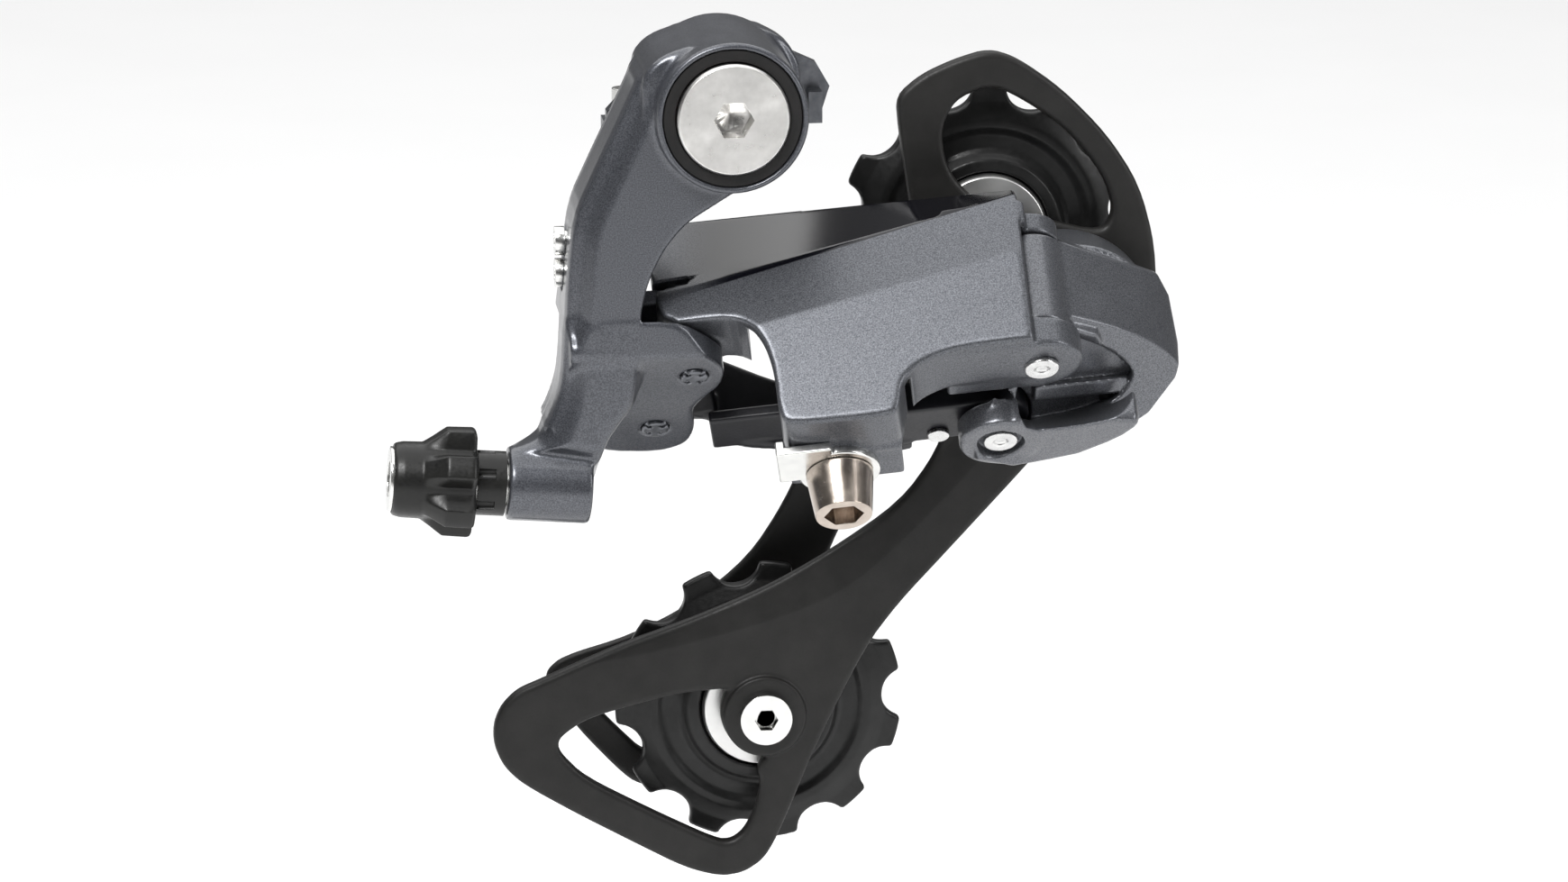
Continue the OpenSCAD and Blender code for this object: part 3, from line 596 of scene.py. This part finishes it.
def bracket_openings(grid):
    """Bolt bore and its recesses, fork gaps, pin holes, adjuster bore and limit-screw holes."""
    x, y, z = grid.x, grid.y, grid.z
    lx, ly, lz = grid.seen_from(LINKAGE)
    ax, ay, az = grid.seen_from(ADJUSTER)
    a1x, a1y = lx - PIN_A1[0], ly - PIN_A1[1]
    a2x, a2y = lx - PIN_A2[0], ly - PIN_A2[1]
    tools = [
        rod(x, z, y, -30, 1, 6.55),
        rod(x, z, y, -30, -23.1, 10),
        rod(x, z, y, -20, 1, 9.3),
        rod(a1x, a1y, lz, FORK_FLOOR, UPPER_LUG[0], 6.9),
        rod(a1x, a1y, lz, UPPER_LUG[1], -6, 7.4),
        rod(a2x, a2y, lz, FORK_FLOOR, TOP_LUG[0], 5.5),
        block(lx, ly, lz, (-16.1, 21.4, FORK_FLOOR), (9.9, 41.4, TOP_LUG[0])),
        block(a1x, a1y, lz, (-7, 3, FORK_FLOOR), (13, 10, TOP_LUG[0])),
        rod(a1x, a1y, lz, -43, -26, PIN_R),
        rod(a2x, a2y, lz, -43, -20, PIN_R),
        rod(ax, ay, az, -9, 3, 3.05),
        rod(ax, ay, az, -20, 3, 1.2),
        block(ax, ay, az, (-12, -12, 0), (12, 12, 12)),
    ]
    for screw in SCREWS:
        u, v = y - middle(screw)[1], z - middle(screw)[2]
        tools += [rod(u, v, x, -31, 10, 1.55), rod(u, v, x, -31, -22.4, 2.5)]
    return tools


def make_bracket():
    """The cast bracket."""
    grid = Grid(ROW, (-33.5, -27.5, -61.5), (16, 13.5, 12.5), 0.31)
    body = cut(0.3, bracket_solid(grid), *bracket_openings(grid))
    skin("bracket_casting", grid, body, CASTING, "bracket_body")


def make_link_pins():
    """The two pins in the bracket, their outboard ends staked with a cross."""
    room = PIN_R + 0.6
    low = (PIN_A2[0] - room, PIN_A1[1] - room, -42)
    high = (PIN_A1[0] + room, PIN_A2[1] + room, -20.6)
    grid = Grid(LINKAGE, low, high, 0.2)
    pins = []
    for pin, top in ((PIN_A1, -27.9), (PIN_A2, -21.1)):
        x, y, z = grid.x - pin[0], grid.y - pin[1], grid.z
        cross = np.maximum(np.minimum(np.abs(x + y), np.abs(x - y)) - 0.45, 1.0 - np.hypot(x, y))
        pins.append(cut(0.15, rod(x, y, z, -41.4, top, PIN_R), both(0.1, cross, z + 40.9)))
    skin("bracket_link_pins_staked", grid, np.minimum(*pins), DARK_PLATE, "pins_a")


# ---- outer link ----

LINK_PROFILE = [
    (-5.2, -36.6), (6, -36.6), (9.2, -38.6), (10.8, -41.6), (11.7, -46), (11.8, -53.2), (13.2, -55),
    (27.8, -55), (29, -53.8), (29.8, -49.8), (32.4, -47.4), (37, -45.9), (43, -45.5), (56, -45.5),
    (56, -6), (-5.2, -6),
]
SHELF_FLOOR = -55
SHELF_TOP = -51
NEAR_EYE = (-36.6, -31.5)
FAR_EYE = (-45.5, -40.8)
FAR_UPPER_EYE = (-25.6, -22.4)
SHELL_WALL = 2


def link_faces(x, y, z, inset):
    """Front with its crease, roof and nose of the outer link, moved in by inset."""
    t = (x + 5) / 54.2
    lower, upper = -42 + 11 * t, -33.4 + 12 * t
    slope = 1.9 - 1.22 * t
    front = -9.15 + inset + np.maximum(0, lower - z) * 0.085 + np.maximum(0, z - lower) * 0.14 - y
    roof = (z - upper - (y + 8.45 - inset) * slope + inset * 0.9) / np.sqrt(1 + slope * slope)
    nose = (-5.1 + inset - x + 0.16 * np.maximum(0, -y - 3)) * 0.95
    return front, roof, nose


def make_outer_link():
    """The slant link: creased front, dished nose, gloss roof, eyes and anchor shelf."""
    grid = Grid(OUTER, (-7.5, -12.5, -57.5), (58, 13, -8))
    x, y, z = grid.x, grid.y, grid.z
    front, roof, nose = link_faces(x, y, z, 0)
    side = outline(x, z, rounded(LINK_PROFILE))
    shell = both(0.8, both(0.35, front, roof), side, both(1.4, nose, y - 2.6), x - 49.1)
    inner_front, inner_roof, inner_nose = link_faces(x, y, z, SHELL_WALL)
    floor_x = (-8, 8.4, 8.6, 30.8, 31.0, 60)
    floor_z = (-31.8, -31.8, -49.6, -49.6, -41, -41)
    floor = np.interp(x, floor_x, floor_z).astype(np.float32)
    hollow = both(0.6, inner_front, inner_roof, inner_nose + 0.6, (floor - z) * 0.8)
    link = cut(0.4, shell, hollow)
    far = x - LINK_LENGTH
    anchor_x, anchor_y = inside(OUTER, middle("cable_anchor_bolt"))[:2]
    link = either(
        0.8, link,
        rod(x, y, z, *NEAR_EYE, 4.7),
        block(x, y, z, (12.2, 2, SHELF_FLOOR), (28.6, 10, SHELF_TOP)),
        rod(x - anchor_x, y - anchor_y, z, SHELF_FLOOR, SHELF_TOP, 5.6),
        either(0.5, rod(far, y, z, *FAR_EYE, 6, 0.7),
               block(x, y, z, (36, -6, FAR_EYE[0]), (49.9, 5.9, FAR_EYE[1]))),
        either(0.5, rod(far, y, z, *FAR_UPPER_EYE, 4.6),
               block(x, y, z, (38, -7.8, FAR_UPPER_EYE[0]), (49.9, 4.1, FAR_UPPER_EYE[1]))),
    )
    link = cut(
        0.3, link,
        rod(x, y, z, -31.4, -28, 6.2), block(x, y, z, (-9, -6.6, -31.45), (0.5, 9, -27.9)),
        rod(x, y, z, -60, -27.5, PIN_R + 0.05), rod(far, y, z, -60, -20, PIN_R),
        rod(x - anchor_x, y - anchor_y, z, -60, -48, 2.55),
    )
    skin("outer_link_shell", grid, link, LINK_PAINT, "outer_link")


# ---- pivot body ----

KNUCKLE_OUTLINE = [
    (39, -16.5), (43, -15.6), (51, -18), (59, -22.6), (64, -27.5), (66.4, -32), (67, -38), (66.2, -42.5),
    (62.5, -48), (57.5, -51.4), (50, -53.6), (42, -54.6), (36.4, -53), (36, -47.5), (38, -44),
]
KNUCKLE_PLAN = [
    (PIN_B1[0] + 1.2, PIN_B1[1] - 4), (50, 4.9), (56, 8.1), (61.6, 11.8), (65.6, 15.6), (68, 19.4), (70, 25),
    (70, 60), (30, 60), (33, PIN_B2[1] - 4), (PIN_B1[0], PIN_B1[1] + 2),
]
KNUCKLE_RECESS = [
    (43, -32.4), (50, -33.8), (56, -37), (60, -41), (57.6, -45.2), (51, -47.2), (41, -48),
]
SHOULDER_PLAN = [
    (PIN_B1[0] + 1, PIN_B1[1] - 3), (50, 5.6), (54, 7.8), (54, 14), (PIN_B1[0], PIN_B1[1] + 4.4),
]
LUG_ARM_PLAN = [
    (39.6, 15.1), (46, 14.8), (58.6, 15.2), (59.6, 17), (57, 21), (50, 26.4), (39.6, 27.1),
]
LUG_RISER_PLAN = [
    (45.4, 14.8), (58.6, 15.2), (59.6, 17), (57, 21), (50, 26), (45.4, 27.4),
]
BOSS_FLOOR = -40.6
BOSS_TOP = -26
BEVEL_TOP = -25.6
LUG_BOTTOM = -50
INNER_EYE = (-46, -40.2)
CHAMBER_R = 14
RECESS_DEPTH = 2.4
STOP_ANGLE = math.radians(-117.6)
FURTHEST_X = 67
SWEEP_STEP = 7.5
SWEEP_COUNT = 9


def outboard_cut(grid):
    """Distance behind the pivot body's lower outboard face, which leans down and forward."""
    x, y, z = grid.seen_from(ROW)
    lean, turn = math.radians(20), math.radians(14.3)
    normal = (-math.sin(turn) * math.cos(lean), math.cos(turn) * math.cos(lean), math.sin(lean))
    return normal[0] * x + normal[1] * (y + 48.3) + normal[2] * z


def knuckle_solid(grid):
    """Curved facet under a top bevel, recessed lower face with its bar, chamber, stop, boss and lug."""
    x, y, z = grid.x, grid.y, grid.z
    wx, wy, wz = grid.seen_from(ROW)
    b1x, b1y = x - PIN_B1[0], y - PIN_B1[1]
    b2x, b2y = x - PIN_B2[0], y - PIN_B2[1]
    px, pz = wx - PIVOT[0], wz - PIVOT[1]
    plan = outline(x, y, rounded(KNUCKLE_PLAN))
    behind = outboard_cut(grid)
    bevel = 0.355 * (x - PIN_B1[0] - 0.5) - 0.568 * (y - PIN_B1[1] + 4.2) + 0.743 * (z - BEVEL_TOP)
    silhouette = outline(wx, wz, KNUCKLE_OUTLINE)
    cover = both(0.3, silhouette, between(wy, -30, -4), both(0.25, plan, -behind), bevel)
    chamber = both(0.5, rod(px, pz, wy, -9.7, 1, CHAMBER_R, 0.5), plan - 0.2)
    along = px * math.cos(STOP_ANGLE) + pz * math.sin(STOP_ANGLE)
    beside = -px * math.sin(STOP_ANGLE) + pz * math.cos(STOP_ANGLE)
    stop = block(along, beside, wy, (12, -2.6, -4.5), (18, 2.6, 0.9))
    boss = rod(b1x, b1y, z, BOSS_FLOOR, BOSS_TOP, 4.9, 0.5)
    shoulder = plate(x, y, z, SHOULDER_PLAN, BOSS_FLOOR, -26.2, 0.5, 1)
    lug = either(
        0.5, rod(b2x, b2y, z, LUG_BOTTOM, INNER_EYE[0], 6, 0.6),
        plate(x, y, z, LUG_ARM_PLAN, LUG_BOTTOM, INNER_EYE[0], 0.7, 1),
        plate(x, y, z, LUG_RISER_PLAN, -49.2, -44.6, 0.7, 1),
    )
    body = either(0.9, np.minimum(cover, chamber), stop, lug, rod(b2x, b2y, z, -40.3, -37, 5))
    body = either(0.5, body, boss, shoulder)
    recess = both(0.3, behind - RECESS_DEPTH, outline(wx, wz, rounded(KNUCKLE_RECESS)))
    bar = both(0.5, behind - 2.6, 0.6 - behind, between(wx, 44.5, 59), between(wz, -44.4, -41.8))
    body = either(0.3, cut(0.3, body, recess), bar)
    return np.maximum(body, wx - FURTHEST_X)


def knuckle_openings(grid):
    """Spring chamber, axle bore, pin holes, and the room the links' eyes and walls sweep."""
    x, y, z = grid.x, grid.y, grid.z
    wx, wy, wz = grid.seen_from(ROW)
    b1x, b1y = x - PIN_B1[0], y - PIN_B1[1]
    b2x, b2y = x - PIN_B2[0], y - PIN_B2[1]
    px, pz = wx - PIVOT[0], wz - PIVOT[1]
    tools = [
        rod(px, pz, wy, -8.5, 5, 11.4),
        rod(px, pz, wy, -12.4, 5, 5.6),
        rod(px, pz, wy, -15.2, 5, 4.6),
        rod(px, pz, wy, -0.6, 5, 12.4),
        rod(b1x, b1y, z, -60, BOSS_FLOOR, 6.4),
        rod(b1x, b1y, z, BOSS_TOP, -22, 5),
        rod(b2x, b2y, z, *INNER_EYE, 5),
        rod(b1x, b1y, z, -60, -20, PIN_R + 0.05),
        rod(b2x, b2y, z, -60, -48.8, 3.4),
    ]
    lean = math.atan2(PIN_B1[1] - PIN_A1[1], PIN_B1[0] - PIN_A1[0])
    for step in range(SWEEP_COUNT):
        turn = lean + math.radians(SWEEP_STEP * step)
        c, s = math.cos(turn), math.sin(turn)
        u1, v1 = b1x * c + b1y * s, b1y * c - b1x * s
        u2, v2 = b2x * c + b2y * s, b2y * c - b2x * s
        tools += [
            block(u1, v1, z, (-60, -9.9, BOSS_TOP), (-0.2, 6.1, 10)),
            block(u1, v1, z, (-60, -10, -42), (-0.2, -6.5, -24)),
            block(u1, v1, z, (-60, -10, -60), (-0.1, 6.3, BOSS_FLOOR)),
            block(u2, v2, z, (-60, -5, INNER_EYE[0]), (0, 7, INNER_EYE[1])),
        ]
    return tools


def make_knuckle():
    """The pivot body, which carries the cage."""
    grid = Grid(LINKAGE, (33, -1, -57), (69.5, 42, -15), 0.3)
    body = cut(0.25, knuckle_solid(grid), *knuckle_openings(grid))
    skin("pivot_body_casting", grid, body, KNUCKLE, "p_body")


# ---- cage ----

GUARD = [
    (28.4, -13.6), (27.6, -8), (27.2, -3.4), (31, -0.2), (36, 2), (41, 3.4), (45.2, 2), (51.9, -2.8),
    (58.7, -9.8), (63.6, -17.4), (66.2, -27), (66.4, -38), (64, -46), (58, -52), (52, -54.2), (47.8, -59.2),
]
ARM_RIGHT = [(35, -73.1), (28, -80.6), (22.9, -87.4), (15.4, -102.7), (12, -111.1), (9.5, -117)]
FOOT = [
    (7.6, -120.2), (4.6, -122.2), (1, -122.7), (-4.4, -121.1), (-12.6, -116.5), (-20.7, -111.9),
    (-28.8, -106.9), (-31.6, -104), (-33, -100.6), (-33, -97.4), (-31.8, -94.6), (-29.4, -92.2),
    (-25.9, -90.8),
]
ARM_LEFT = [
    (-13.7, -85.6), (-4.3, -82.5), (7.9, -77.7), (17.4, -72.5), (28.2, -65.2), (33.6, -57.7), (36, -50),
    (36, -43), (33, -34), (30.4, -25), (29.2, -19),
]
GUIDE_WINDOW = [
    (34.4, -12.5), (34, -8), (36, -4), (40.6, -2.1), (44, -3), (52, -8.2), (58.1, -15.8), (59.8, -21.3),
    (58, -24.6), (50, -22.5), (40, -20), (36, -16),
]
FOOT_WINDOW = [
    (-23.4, -100.9), (-22.8, -99.6), (-19.2, -97.1), (-12.4, -95.2), (-4.3, -93.4), (4, -93), (9, -97),
    (8.4, -103), (6.5, -105.5), (7.2, -108.1), (6.3, -112.3), (4.6, -115.6), (2.8, -117), (0.6, -117),
    (-9.8, -111.6), (-19.3, -106.3), (-22.8, -102.6),
]
CREASE = [
    (48, -44), (42, -56.3), (35.4, -63.7), (28.1, -71), (21.7, -76.7), (15.2, -80.2), (6.5, -83.1),
    (-8, -86.6), (-24, -89), (-40, -80), (20, -40),
]
INNER_OUTLINE = [
    (29.4, -24), (30.2, -18), (34, -13.4), (40, -11.4), (47, -12.4), (52.4, -17), (54.4, -24), (53, -30),
    (48, -36.4), (42, -42), (34, -51), (28, -60), (22.6, -68.9), (19.9, -74.4), (17, -82), (17.6, -92),
    (16, -100), (12, -106), (6, -109.6), (-3, -112), (-9, -112.4), (-12, -110.8), (-19.6, -102.4),
    (-24, -95.6), (-23.8, -93.5), (-21.3, -91.4), (-11, -88.5), (-2, -84), (6.9, -76.8), (12.3, -68.5),
    (17, -58), (24, -44), (28.4, -33),
]
INNER_WINDOW = [
    (-17.9, -96.4), (-12, -93.8), (-5, -91.6), (4, -91), (8, -98), (4, -104.6), (-4, -106.8), (-9, -107),
    (-13, -103), (-17.6, -98),
]
BOLT_HOLE_R = 2.5


def make_outer_plate():
    """The outer cage plate: creased arm, guards round both pulleys, raised boss at the lower bolt."""
    grid = Grid(ROW, (-34.5, 0.1, -124), (68, 5, 5), 0.3)
    x, y, z = grid.x, grid.y, grid.z
    tx, tz = x - TENSION[0], z - TENSION[1]
    px, pz = x - PIVOT[0], z - PIVOT[1]
    edge = outline(x, z, rounded(GUARD + ARM_RIGHT + FOOT + ARM_LEFT))
    foot_window = np.maximum(outline(x, z, rounded(FOOT_WINDOW)), 6.6 - np.hypot(tx, tz - 0.7))
    windows = np.minimum(outline(x, z, rounded(GUIDE_WINDOW)), foot_window)
    flat = both(0.5, edge, -windows)
    fall = np.maximum(0, -outline(x, z, rounded(CREASE))) * 0.17
    fall = np.minimum(fall, 0.85) * np.clip((np.hypot(px, pz) - 12) / 8, 0, 1)
    body = both(0.9, flat, CAGE_FRONT + fall - y, y - CAGE_FRONT - OUTER_T)
    body = either(0.3, body, rod(tx, tz, y, CAGE_FRONT - 0.7, CAGE_FRONT + 1.5, 6.2, 0.35),
                  rod(px, pz, y, CAGE_FRONT - 0.4, CAGE_FRONT + 1, 8, 0.3))
    body = cut(
        0.2, body, rod(tx, tz, y, -5, 10, BOLT_HOLE_R),
        rod(x - GUIDE[0], z - GUIDE[1], y, -5, 10, BOLT_HOLE_R),
        rod(px, pz, y, -5, 10, 3.6), rod(px, pz, y, -5, 2.2, 4.5),
    )
    skin("outer_cage_plate_coated", grid, body, CAGE_BLACK, "outer_cage_plate")


def make_inner_plate():
    """The inner cage plate, a plain stamping with raised bolt bosses."""
    grid = Grid(ROW, (-26, 14.4, -114), (56, 19, -10), 0.3)
    x, y, z = grid.x, grid.y, grid.z
    window = np.maximum(outline(x, z, rounded(INNER_WINDOW)), 7 - np.hypot(x - TENSION[0], z - TENSION[1]))
    flat = both(0.5, outline(x, z, rounded(INNER_OUTLINE)), -window)
    body = both(0.6, flat, between(y, INNER_Y, INNER_Y + INNER_T))
    for centre in (TENSION, GUIDE):
        u, v = x - centre[0], z - centre[1]
        body = either(0.5, body, rod(u, v, y, INNER_Y + 0.1, INNER_Y + INNER_T + 0.9, 5, 0.3))
        body = cut(0.2, body, rod(u, v, y, 0, 30, BOLT_HOLE_R))
    skin("inner_cage_plate_coated", grid, body, CAGE_BLACK, "inner_cage_plate")


# ---- inner link ----

INNER_WALL = [
    (0, -36.6), (8.2, -36.6), (10.6, -41.6), (14, -42.8), (32, -45.4), (37, -45.5), (37, -39.2), (34, -38.4),
    (20, -33.6), (8, -26.4), (6, -25.2), (0, -25.2),
]
EYE_R = 4.6
LOW_EYE = (-36.6, -33.8)
HIGH_EYE = (-28, -25.1)
BAR_EYE = (-45.6, -40.5)
RIVET_PLACE = (41, 2.6)


def make_inner_link():
    """The flat inner link: a wall between two eyes at the bracket and a bar to the pivot body."""
    grid = Grid(INNER, (-6, -6, -47), (56, 8.5, -23.5), 0.3)
    x, y, z = grid.x, grid.y, grid.z
    far = x - LINK_LENGTH
    wall = both(0.6, outline(x, z, rounded(INNER_WALL)), between(y, 4.7, 6.6))
    near_eyes = []
    for eye in (LOW_EYE, HIGH_EYE):
        near_eyes.append(rod(x, y, z, *eye, EYE_R))
        near_eyes.append(block(x, y, z, (0, -EYE_R, eye[0]), (9, 5.4, eye[1])))
    far_eye = either(
        0.4, rod(far, y, z, *BAR_EYE, EYE_R, 0.6),
        block(x, y, z, (30, -EYE_R, BAR_EYE[0]), (49.8, EYE_R, BAR_EYE[1]), 0.6),
    )
    link = either(
        0.6, wall, *near_eyes, far_eye,
        block(x, y, z, (30, 4, BAR_EYE[0]), (37, 6.6, BAR_EYE[1])),
        block(x, y, z, (8, -2.4, -42.4), (32, 5.6, -40.4)),
    )
    link = cut(
        0.2, link, rod(x, y, z, -60, -10, PIN_R + 0.05), rod(far, y, z, -60, -10, PIN_R + 0.05),
        rod(x - RIVET_PLACE[0], y - RIVET_PLACE[1], z, -60, -10, 1.2),
    )
    skin("inner_link_plate", grid, link, BLACK_LINK, "inner_link")


# ---- pulleys ----

TEETH = 11
CHAIN_PITCH = 12.7
ROOT_R = CHAIN_PITCH / 2 / math.sin(math.pi / TEETH) - 3.87
ROLLER_R = 3.9
BORE_R = 4.05
CAP_SEAT_R = 9.25


def make_pulley(name, centre, phase):
    """A toothed pulley: thin shaped teeth, dished web, raised ring round the dust cap's seat."""
    reach = ROOT_R + 4
    grid = Grid(ROW, (centre[0] - reach, PULLEY_Y - 4.4, centre[1] - reach),
                (centre[0] + reach, PULLEY_Y + 4.4, centre[1] + reach), 0.27)
    x, y, z = grid.x - centre[0], grid.y - PULLEY_Y, grid.z - centre[1]
    radius = np.hypot(x, z)
    teeth = radius - ROOT_R - 3.1
    for i in range(TEETH):
        turn = math.radians(phase) + 2 * math.pi * (i + 0.5) / TEETH
        along = x * math.cos(turn) + z * math.sin(turn)
        across = z * math.cos(turn) - x * math.sin(turn)
        gap = np.hypot(along - ROOT_R - ROLLER_R, across) - ROLLER_R
        flank = (np.abs(across) - 3.6 - (along - ROOT_R - 2.6) * 0.55) * 0.87
        flare = np.maximum(flank, ROOT_R + 2.2 - along)
        teeth = both(0.5, teeth, -np.minimum(gap, flare))
    rings = (0, 9.3, 9.8, 11.0, 11.8, 12.6, 14.6, ROOT_R - 3, ROOT_R - 1.9, ROOT_R + 0.6, ROOT_R + 3.1)
    half_widths = (3.6, 3.6, 3.6, 3.5, 2.4, 1.9, 1.75, 2.3, 2.2, 1.15, 0.85)
    half = np.interp(radius, rings, half_widths).astype(np.float32)
    body = both(0.4, teeth, (np.abs(y) - half) * 0.85)
    cap_seat = both(0.1, radius - CAP_SEAT_R, 2.4 - np.abs(y))
    body = cut(0.2, body, radius - BORE_R, cap_seat)
    skin(name + "_moulded", grid, body, RESIN, name)


# ---- adjuster knob ----

KNOB_LOBES = 6


def make_knob():
    """The adjuster's knob: finger lobes that ramp down to a plain waist."""
    grid = Grid(ADJUSTER, (-9, -9, 4), (9, 9, 18), 0.18)
    x, y, z = grid.x, grid.y, grid.z
    radius = np.hypot(x, y)
    waist = np.interp(z, (4, 9.3, 11, 15.2, 17), (5.75, 5.75, 5.6, 5.5, 5.1)).astype(np.float32)
    ramp_up = np.interp(z, (4, 5.2, 9.0, 12.4, 20), (2.25, 2.25, 2.15, 0, 0)).astype(np.float32)
    wave = np.clip(0.72 + 0.85 * np.cos(KNOB_LOBES * np.arctan2(y, x)), 0, 1)
    lobes = waist + ramp_up * wave
    body = both(0.9, (radius - lobes) * 0.8, between(z, 4.7, 16.8))
    body = cut(0.3, body, both(0.1, radius - 4.6, z - 9.5), both(0.1, radius - 4.1, z - 16.5),
               both(0.1, radius - 4.75, 16.3 - z))
    skin("adjuster_knob_moulded", grid, body, KNOB_BLACK, "adjuster_knob")


# ---- springs ----

POINTS_A_TURN = 32


def make_spring(name, place, radius, wire, turns, start, end, node):
    """A round-wire coil along a placement's Z, from start to end."""
    curve = bpy.data.curves.new(name, "CURVE")
    curve.dimensions = "3D"
    curve.bevel_depth = wire / 2 * MM
    curve.bevel_resolution = 4
    curve.use_fill_caps = True
    count = int(turns * POINTS_A_TURN)
    spline = curve.splines.new("POLY")
    spline.points.add(count)
    for i in range(count + 1):
        turn = 2 * math.pi * turns * i / count
        height = start + (end - start) * i / count
        local = np.array([radius * math.cos(turn), radius * math.sin(turn), height])
        spline.points[i].co = (*((local @ place[1] + place[0]) * MM), 1)
    spline.use_smooth = True
    finish_piece(new_object(name, curve), SPRING, node)


def along_y(centre):
    """A placement with +Z along the row's +Y, at a point in X and Z."""
    return placement((centre[0], 0, centre[1]), (1, 0, 0), (0, 1, 0))


def make_springs():
    """The springs inside the bracket, the links, the pivot body and the adjuster."""
    make_spring("bracket_torsion_spring", along_y((0, 0)), 8, 1.8, 6, -18.2, -5, "b_spring")
    make_spring("cage_torsion_spring", along_y(PIVOT), 9, 1.8, 3, -7, -2, "p_spring")
    make_spring("link_return_spring", link_place(PIN_A2), 3.9, 1.3, 3, -32.9, -28.9, "link_spring")
    make_spring("adjuster_click_spring", ADJUSTER, 3.9, 0.8, 4, 5.6, 8.8, "adjuster_spring")


# ---- small parts from the CAD solids ----

WELD = 0.000002
SHARP = math.radians(32)


def refine(node, material, bevel):
    """A welded copy of a CAD node with real rounded edges and smooth shading."""
    cad = frame["nodes"][node]
    mesh = bpy.data.meshes.new(node + "_finished")
    form = bmesh.new()
    form.from_mesh(cad.data)
    bmesh.ops.remove_doubles(form, verts=form.verts, dist=WELD)
    bmesh.ops.dissolve_limit(form, angle_limit=math.radians(1), verts=form.verts, edges=form.edges)
    form.to_mesh(mesh)
    form.free()
    mesh.polygons.foreach_set("use_smooth", np.ones(len(mesh.polygons), bool))
    piece = new_object(node + "_finished", mesh)
    edge = piece.modifiers.new("edge", "BEVEL")
    edge.width = bevel * MM
    edge.segments = 3
    edge.limit_method = "ANGLE"
    edge.angle_limit = SHARP
    edge.use_clamp_overlap = True
    edge.harden_normals = True
    weight = piece.modifiers.new("normals", "WEIGHTED_NORMAL")
    weight.keep_sharp = True
    return finish_piece(piece, material, node)


SMALL_PARTS = {
    "b_bolt": (BRIGHT, 0.12), "stop_plate": (DARK_PLATE, 0.3), "b_tension_screw": (ZINC, 0.12),
    "b_retaining_ring": (BLACK_STEEL, 0.1), "b_bush": (BRONZE, 0.1), "b_seal_ring": (RUBBER, 0.25),
    "limit_screw_high": (ZINC, 0.12), "limit_screw_low": (ZINC, 0.12), "adjuster_barrel": (ZINC, 0.12),
    "adjuster_collar": (KNOB_BLACK, 0.2), "pin_b_outer": (RIVET, 0.3), "pin_b_inner": (RIVET, 0.3),
    "inner_link_rivet": (RIVET, 0.25), "cable_clamp_plate": (ZINC, 0.3), "cable_anchor_bolt": (WARM, 0.3),
    "p_bush": (BRONZE, 0.1), "p_seal_ring": (RUBBER, 0.15), "p_axle": (RIVET, 0.15),
    "p_retaining_screw": (BLACK_STEEL, 0.08), "cage_stop_pin": (RIVET, 0.2), "guide_bush": (BRONZE, 0.1),
    "tension_bush": (BRONZE, 0.1), "guide_dust_caps": (CAP_SILVER, 0.2),
    "tension_dust_caps": (CAP_SILVER, 0.2), "pulley_bolts": (ZINC, 0.2),
}

# ---- studio ----

FLOOR_DROP = 0.07
FLOOR_REACH = 6.0
SKY = 0.12


def make_floor():
    """A wide pale floor, low enough for the cage to swing down clear of it."""
    level = CAD_BOX[0][2] - FLOOR_DROP
    mesh = bpy.data.meshes.new("floor")
    corners = [(-FLOOR_REACH, -FLOOR_REACH), (FLOOR_REACH, -FLOOR_REACH),
               (FLOOR_REACH, FLOOR_REACH), (-FLOOR_REACH, FLOOR_REACH)]
    mesh.from_pydata([(x, y, level) for x, y in corners], [], [(0, 1, 2, 3)])
    floor = new_object("floor", mesh)
    pale = new_material("pale_floor", (0.9, 0.9, 0.9), roughness=0.9)
    mottle(pale, noise(pale, 20, 2), (0.895, 0.895, 0.895), (0.905, 0.905, 0.905))
    mesh.materials.append(pale)


def add_light(name, place, size, power):
    """A soft rectangular light aimed at the object."""
    lamp = bpy.data.lights.new(name, "AREA")
    lamp.shape = "RECTANGLE"
    lamp.size, lamp.size_y = size
    lamp.energy = power
    lit = new_object(name, lamp)
    lit.location = place
    lit.rotation_euler = (TARGET - Vector(place)).to_track_quat("-Z", "Y").to_euler()


def make_studio():
    """Floor, dim white surroundings, and three softboxes: front left, right, and overhead."""
    make_floor()
    world = bpy.data.worlds.new("studio")
    bpy.context.scene.world = world
    world.use_nodes = True
    sky = world.node_tree.nodes["Background"]
    sky.inputs["Color"].default_value = (1, 1, 1, 1)
    sky.inputs["Strength"].default_value = SKY
    add_light("key", (-0.3, -0.5, 0.6), (0.4, 0.3), 8)
    add_light("side", (0.75, -0.45, 0.3), (0.25, 0.6), 3)
    add_light("overhead", (0, 0.5, 1.5), (2.8, 2.8), 44)
    bpy.context.scene.view_settings.view_transform = "Standard"


make_bracket()
make_link_pins()
make_outer_link()
make_knuckle()
make_outer_plate()
make_inner_plate()
make_inner_link()
make_pulley("guide_pulley", GUIDE, 23)
make_pulley("tension_pulley", TENSION, 17.6)
make_knob()
make_springs()
for node, (material, bevel) in SMALL_PARTS.items():
    refine(node, material, bevel)
make_studio()
